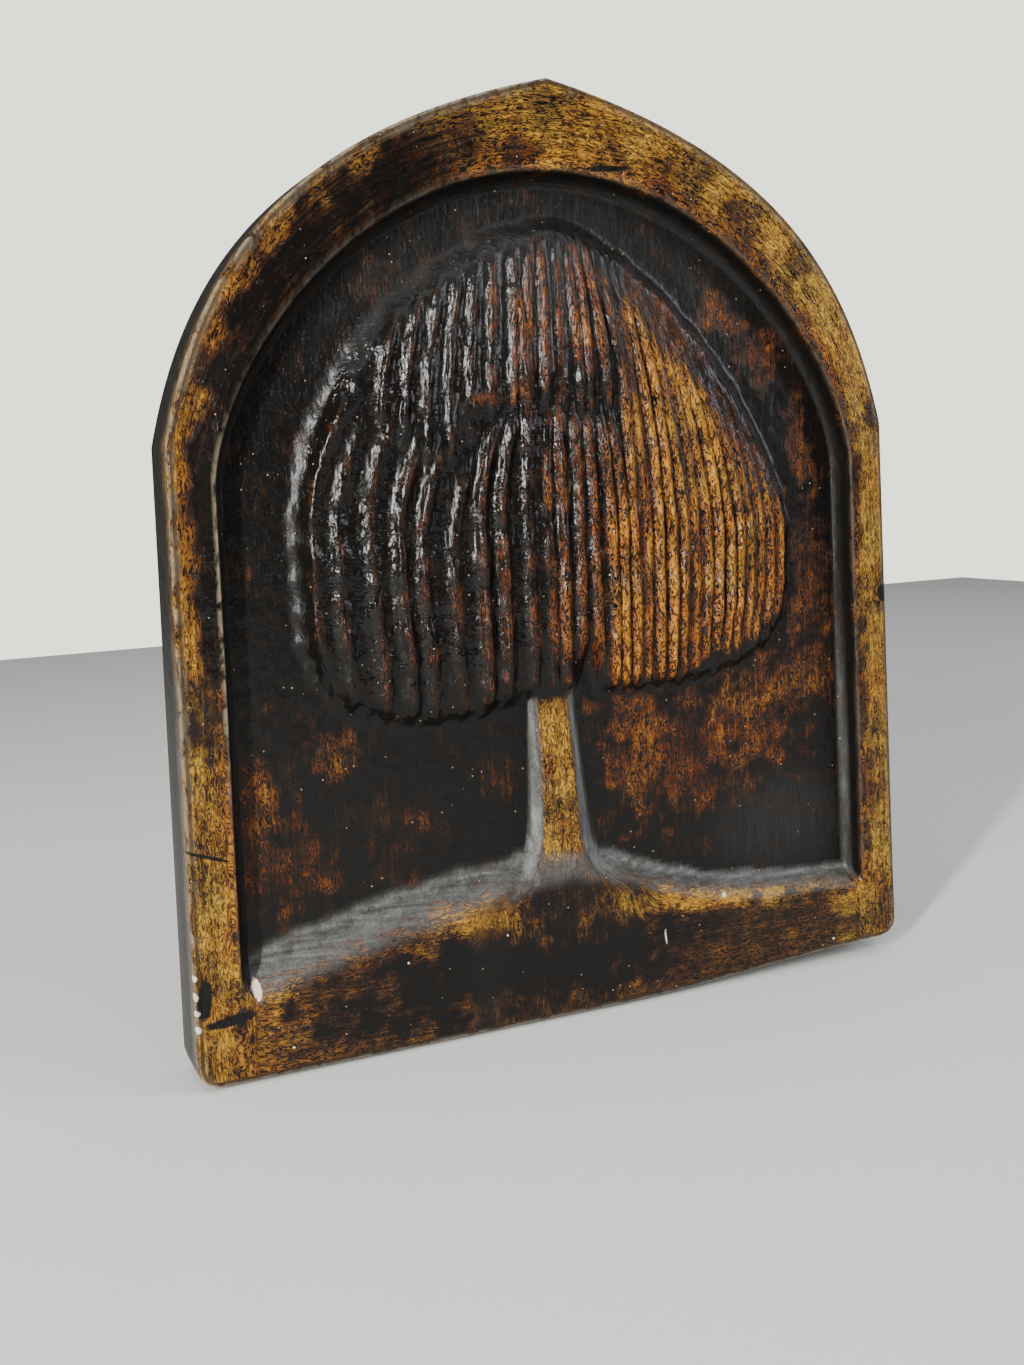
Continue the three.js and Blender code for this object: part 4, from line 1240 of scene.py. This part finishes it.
def plaster_material(colours, groups):
    """The bare cast back: pale plaster, pitted and dirty, with lacquer run over from the sides."""
    material, tree, shader = new_material("bare_plaster")
    position = millimetre_position(tree)
    grain = put(tree, "ShaderNodeGroup", {}, node_tree=groups["grain"])
    tree.links.new(position, grain.inputs["Position"])
    grain.inputs["Grain size"].default_value = 2.2
    dirt = remap(tree, grain.outputs["Mottle"], 0.35, 0.7, 0.0, 0.55)
    colour = mix_colour(tree, dirt, colours.plaster, colours.dirt)
    run = sum_up(tree, "ADD", value_of(tree, "lacquer"), around(tree, grain.outputs["Mottle"], 0.5, 1.0))
    stain = remap(tree, run, 0.3, 0.55)
    colour = mix_colour(tree, stain, colour, colours.rust)
    colour = mix_colour(tree, sum_up(tree, "MULTIPLY", grain.outputs["Pits"], 0.5), colour, colours.brown)
    tree.links.new(colour, shader.inputs["Base Color"])
    rough = sum_up(tree, "SUBTRACT", 0.85, sum_up(tree, "MULTIPLY", stain, 0.45))
    tree.links.new(rough, shader.inputs["Roughness"])
    height = sum_up(tree, "SUBTRACT", grain.outputs["Grain"], grain.outputs["Pits"])
    bump = put(tree, "ShaderNodeBump", {"Strength": 0.4, "Distance": 0.5 * MM, "Height": height})
    tree.links.new(bump.outputs[0], shader.inputs["Normal"])
    return material


class PLAQUE_OT_casting(bpy.types.Operator):
    """Make the lacquered plaster casting"""

    bl_idname = "plaque.casting"
    bl_label = "Willow casting"

    def execute(self, context):
        scene = context.scene
        panel = scene.plaque_panel
        willow = scene.plaque_willow
        colours = scene.plaque_colours
        groups = {"veins": vein_group(), "mark": mark_group(), "grain": grain_group()}
        lines = bpy.data.objects.new("strand_lines", strand_lines(panel, willow))
        rough = bpy.data.objects.new("rough_casting", casting_mesh(panel, willow))
        for made in (lines, rough):
            scene.collection.objects.link(made)
        modifier = rough.modifiers.new("Willow strands", "NODES")
        modifier.node_group = strand_tree()
        set_input(modifier, "Strand lines", lines)
        set_input(modifier, "Strand relief", willow.strand_relief)
        set_input(modifier, "Lump height", panel.lumps)
        set_input(modifier, "Lump size", 9 * MM)
        set_input(modifier, "Seed", 4.0)
        set_input(modifier, "Lacquer", lacquer_material(colours, panel, groups))
        set_input(modifier, "Bare plaster", plaster_material(colours, groups))
        evaluated = rough.evaluated_get(context.evaluated_depsgraph_get())
        mesh = bpy.data.meshes.new_from_object(evaluated)
        plaque = bpy.data.objects.new("willow_plaque", mesh)
        scene.collection.objects.link(plaque)
        for made in (lines, rough):
            bpy.data.objects.remove(made)
        if len(mesh.polygons) == 0:
            raise RuntimeError("the casting has no faces")
        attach(plaque, "root")
        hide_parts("plaque")
        return {"FINISHED"}


# Camera at the photograph's viewing angle, with its focal length and the picture's height in pixels
CAMERA_PLACE = Vector((-0.1602, -0.3802, 0.0247))
CAMERA_RIGHT = Vector((0.92727, -0.37141, -0.04708))
CAMERA_UP = Vector((0.09846, 0.12062, 0.98780))
CAMERA_FOCAL = 1300
PHOTO_HEIGHT = 1365

# The plain stage: the floor's reach, the backdrop's colour, and its glow as seen and as it lights the plaque
FLOOR_REACH = 1.2
BACKDROP_COLOUR = (0.83, 0.84, 0.75)
BACKDROP_GLOW = 2.4
ROOM_GLOW = 0.08

# Soft lights that face the plaque: place, width and height, power and colour
STUDIO_LIGHTS = [
    ("window", (-0.87, -0.77, 0.34), (0.06, 0.65), 30, (1.0, 0.98, 0.95)),
    ("sky", (0.0, -0.4, 2.2), (3.2, 3.2), 62, (0.95, 0.98, 1.0)),
    ("right", (1.05, -0.62, 0.42), (0.3, 0.7), 9, (0.88, 0.91, 1.0)),
]


def add_area_light(scene, name, place, reach, power, colour):
    """A soft light that faces the plaque."""
    light = bpy.data.lights.new(name, "AREA")
    light.shape = "RECTANGLE"
    light.size = reach[0]
    light.size_y = reach[1]
    light.energy = power
    light.color = colour
    holder = bpy.data.objects.new(name, light)
    scene.collection.objects.link(holder)
    holder.location = place
    holder.rotation_euler = (-Vector(place)).to_track_quat("-Z", "Y").to_euler()


def add_floor(scene):
    """The plain pale floor, level with the plaque's foot."""
    level = CAD_BOX[0][2]
    reach = FLOOR_REACH
    corners = [(-reach, -reach, level), (reach, -reach, level), (reach, reach, level), (-reach, reach, level)]
    mesh = bpy.data.meshes.new("floor")
    mesh.from_pydata(corners, [], [(0, 1, 2, 3)])
    material, tree, shader = new_material("pale_floor")
    speckle = noise_of(tree, millimetre_position(tree), 0.35, detail=6.0)
    base = scene.plaque_colours.floor
    shade = [channel * 0.93 for channel in base]
    tree.links.new(mix_colour(tree, speckle, base, shade), shader.inputs["Base Color"])
    shader.inputs["Roughness"].default_value = 0.8
    mesh.materials.append(material)
    floor = bpy.data.objects.new("floor", mesh)
    scene.collection.objects.link(floor)


def add_backdrop(scene):
    """A pale backdrop behind the plaque, which lights it only dimly."""
    world = bpy.data.worlds.new("studio")
    world.use_nodes = True
    tree = world.node_tree
    background = tree.nodes["Background"]
    background.inputs["Color"].default_value = (*BACKDROP_COLOUR, 1.0)
    seen = put(tree, "ShaderNodeLightPath").outputs["Is Camera Ray"]
    glow = sum_up(tree, "MULTIPLY", seen, BACKDROP_GLOW - ROOM_GLOW)
    tree.links.new(sum_up(tree, "ADD", glow, ROOM_GLOW), background.inputs["Strength"])
    scene.world = world


def add_camera(scene):
    """The camera, where the photograph was taken from."""
    camera = bpy.data.cameras.new("camera")
    camera.lens = camera.sensor_width * CAMERA_FOCAL / PHOTO_HEIGHT
    camera.clip_start = 0.01
    holder = bpy.data.objects.new("camera", camera)
    scene.collection.objects.link(holder)
    back = CAMERA_RIGHT.cross(CAMERA_UP)
    turn = Matrix((CAMERA_RIGHT, CAMERA_UP, back)).transposed().to_4x4()
    holder.matrix_world = Matrix.Translation(CAMERA_PLACE) @ turn
    scene.camera = holder


class PLAQUE_OT_stage(bpy.types.Operator):
    """Make the plain floor, soft light and camera"""

    bl_idname = "plaque.stage"
    bl_label = "Stage"

    def execute(self, context):
        scene = context.scene
        add_floor(scene)
        add_backdrop(scene)
        for light in STUDIO_LIGHTS:
            add_area_light(scene, *light)
        add_camera(scene)
        return {"FINISHED"}


class VIEW3D_PT_plaque(bpy.types.Panel):
    """Sizes, colours and makers of the plaque"""

    bl_label = "Willow plaque"
    bl_idname = "VIEW3D_PT_plaque"
    bl_space_type = "VIEW_3D"
    bl_region_type = "UI"
    bl_category = "Plaque"

    def draw(self, context):
        layout = self.layout
        for group in (context.scene.plaque_panel, context.scene.plaque_willow, context.scene.plaque_colours):
            column = layout.column(align=True)
            for name in group.__annotations__:
                column.prop(group, name)
        layout.operator(PLAQUE_OT_casting.bl_idname)
        layout.operator(PLAQUE_OT_stage.bl_idname)


CLASSES = (PanelSizes, WillowSizes, LacquerColours, PLAQUE_OT_casting, PLAQUE_OT_stage, VIEW3D_PT_plaque)


def register():
    for cls in CLASSES:
        bpy.utils.register_class(cls)
    bpy.types.Scene.plaque_panel = bpy.props.PointerProperty(type=PanelSizes)
    bpy.types.Scene.plaque_willow = bpy.props.PointerProperty(type=WillowSizes)
    bpy.types.Scene.plaque_colours = bpy.props.PointerProperty(type=LacquerColours)


def unregister():
    del bpy.types.Scene.plaque_colours
    del bpy.types.Scene.plaque_willow
    del bpy.types.Scene.plaque_panel
    for cls in reversed(CLASSES):
        bpy.utils.unregister_class(cls)


def main():
    register()
    bpy.ops.plaque.casting()
    bpy.ops.plaque.stage()


if __name__ == "__main__":
    main()
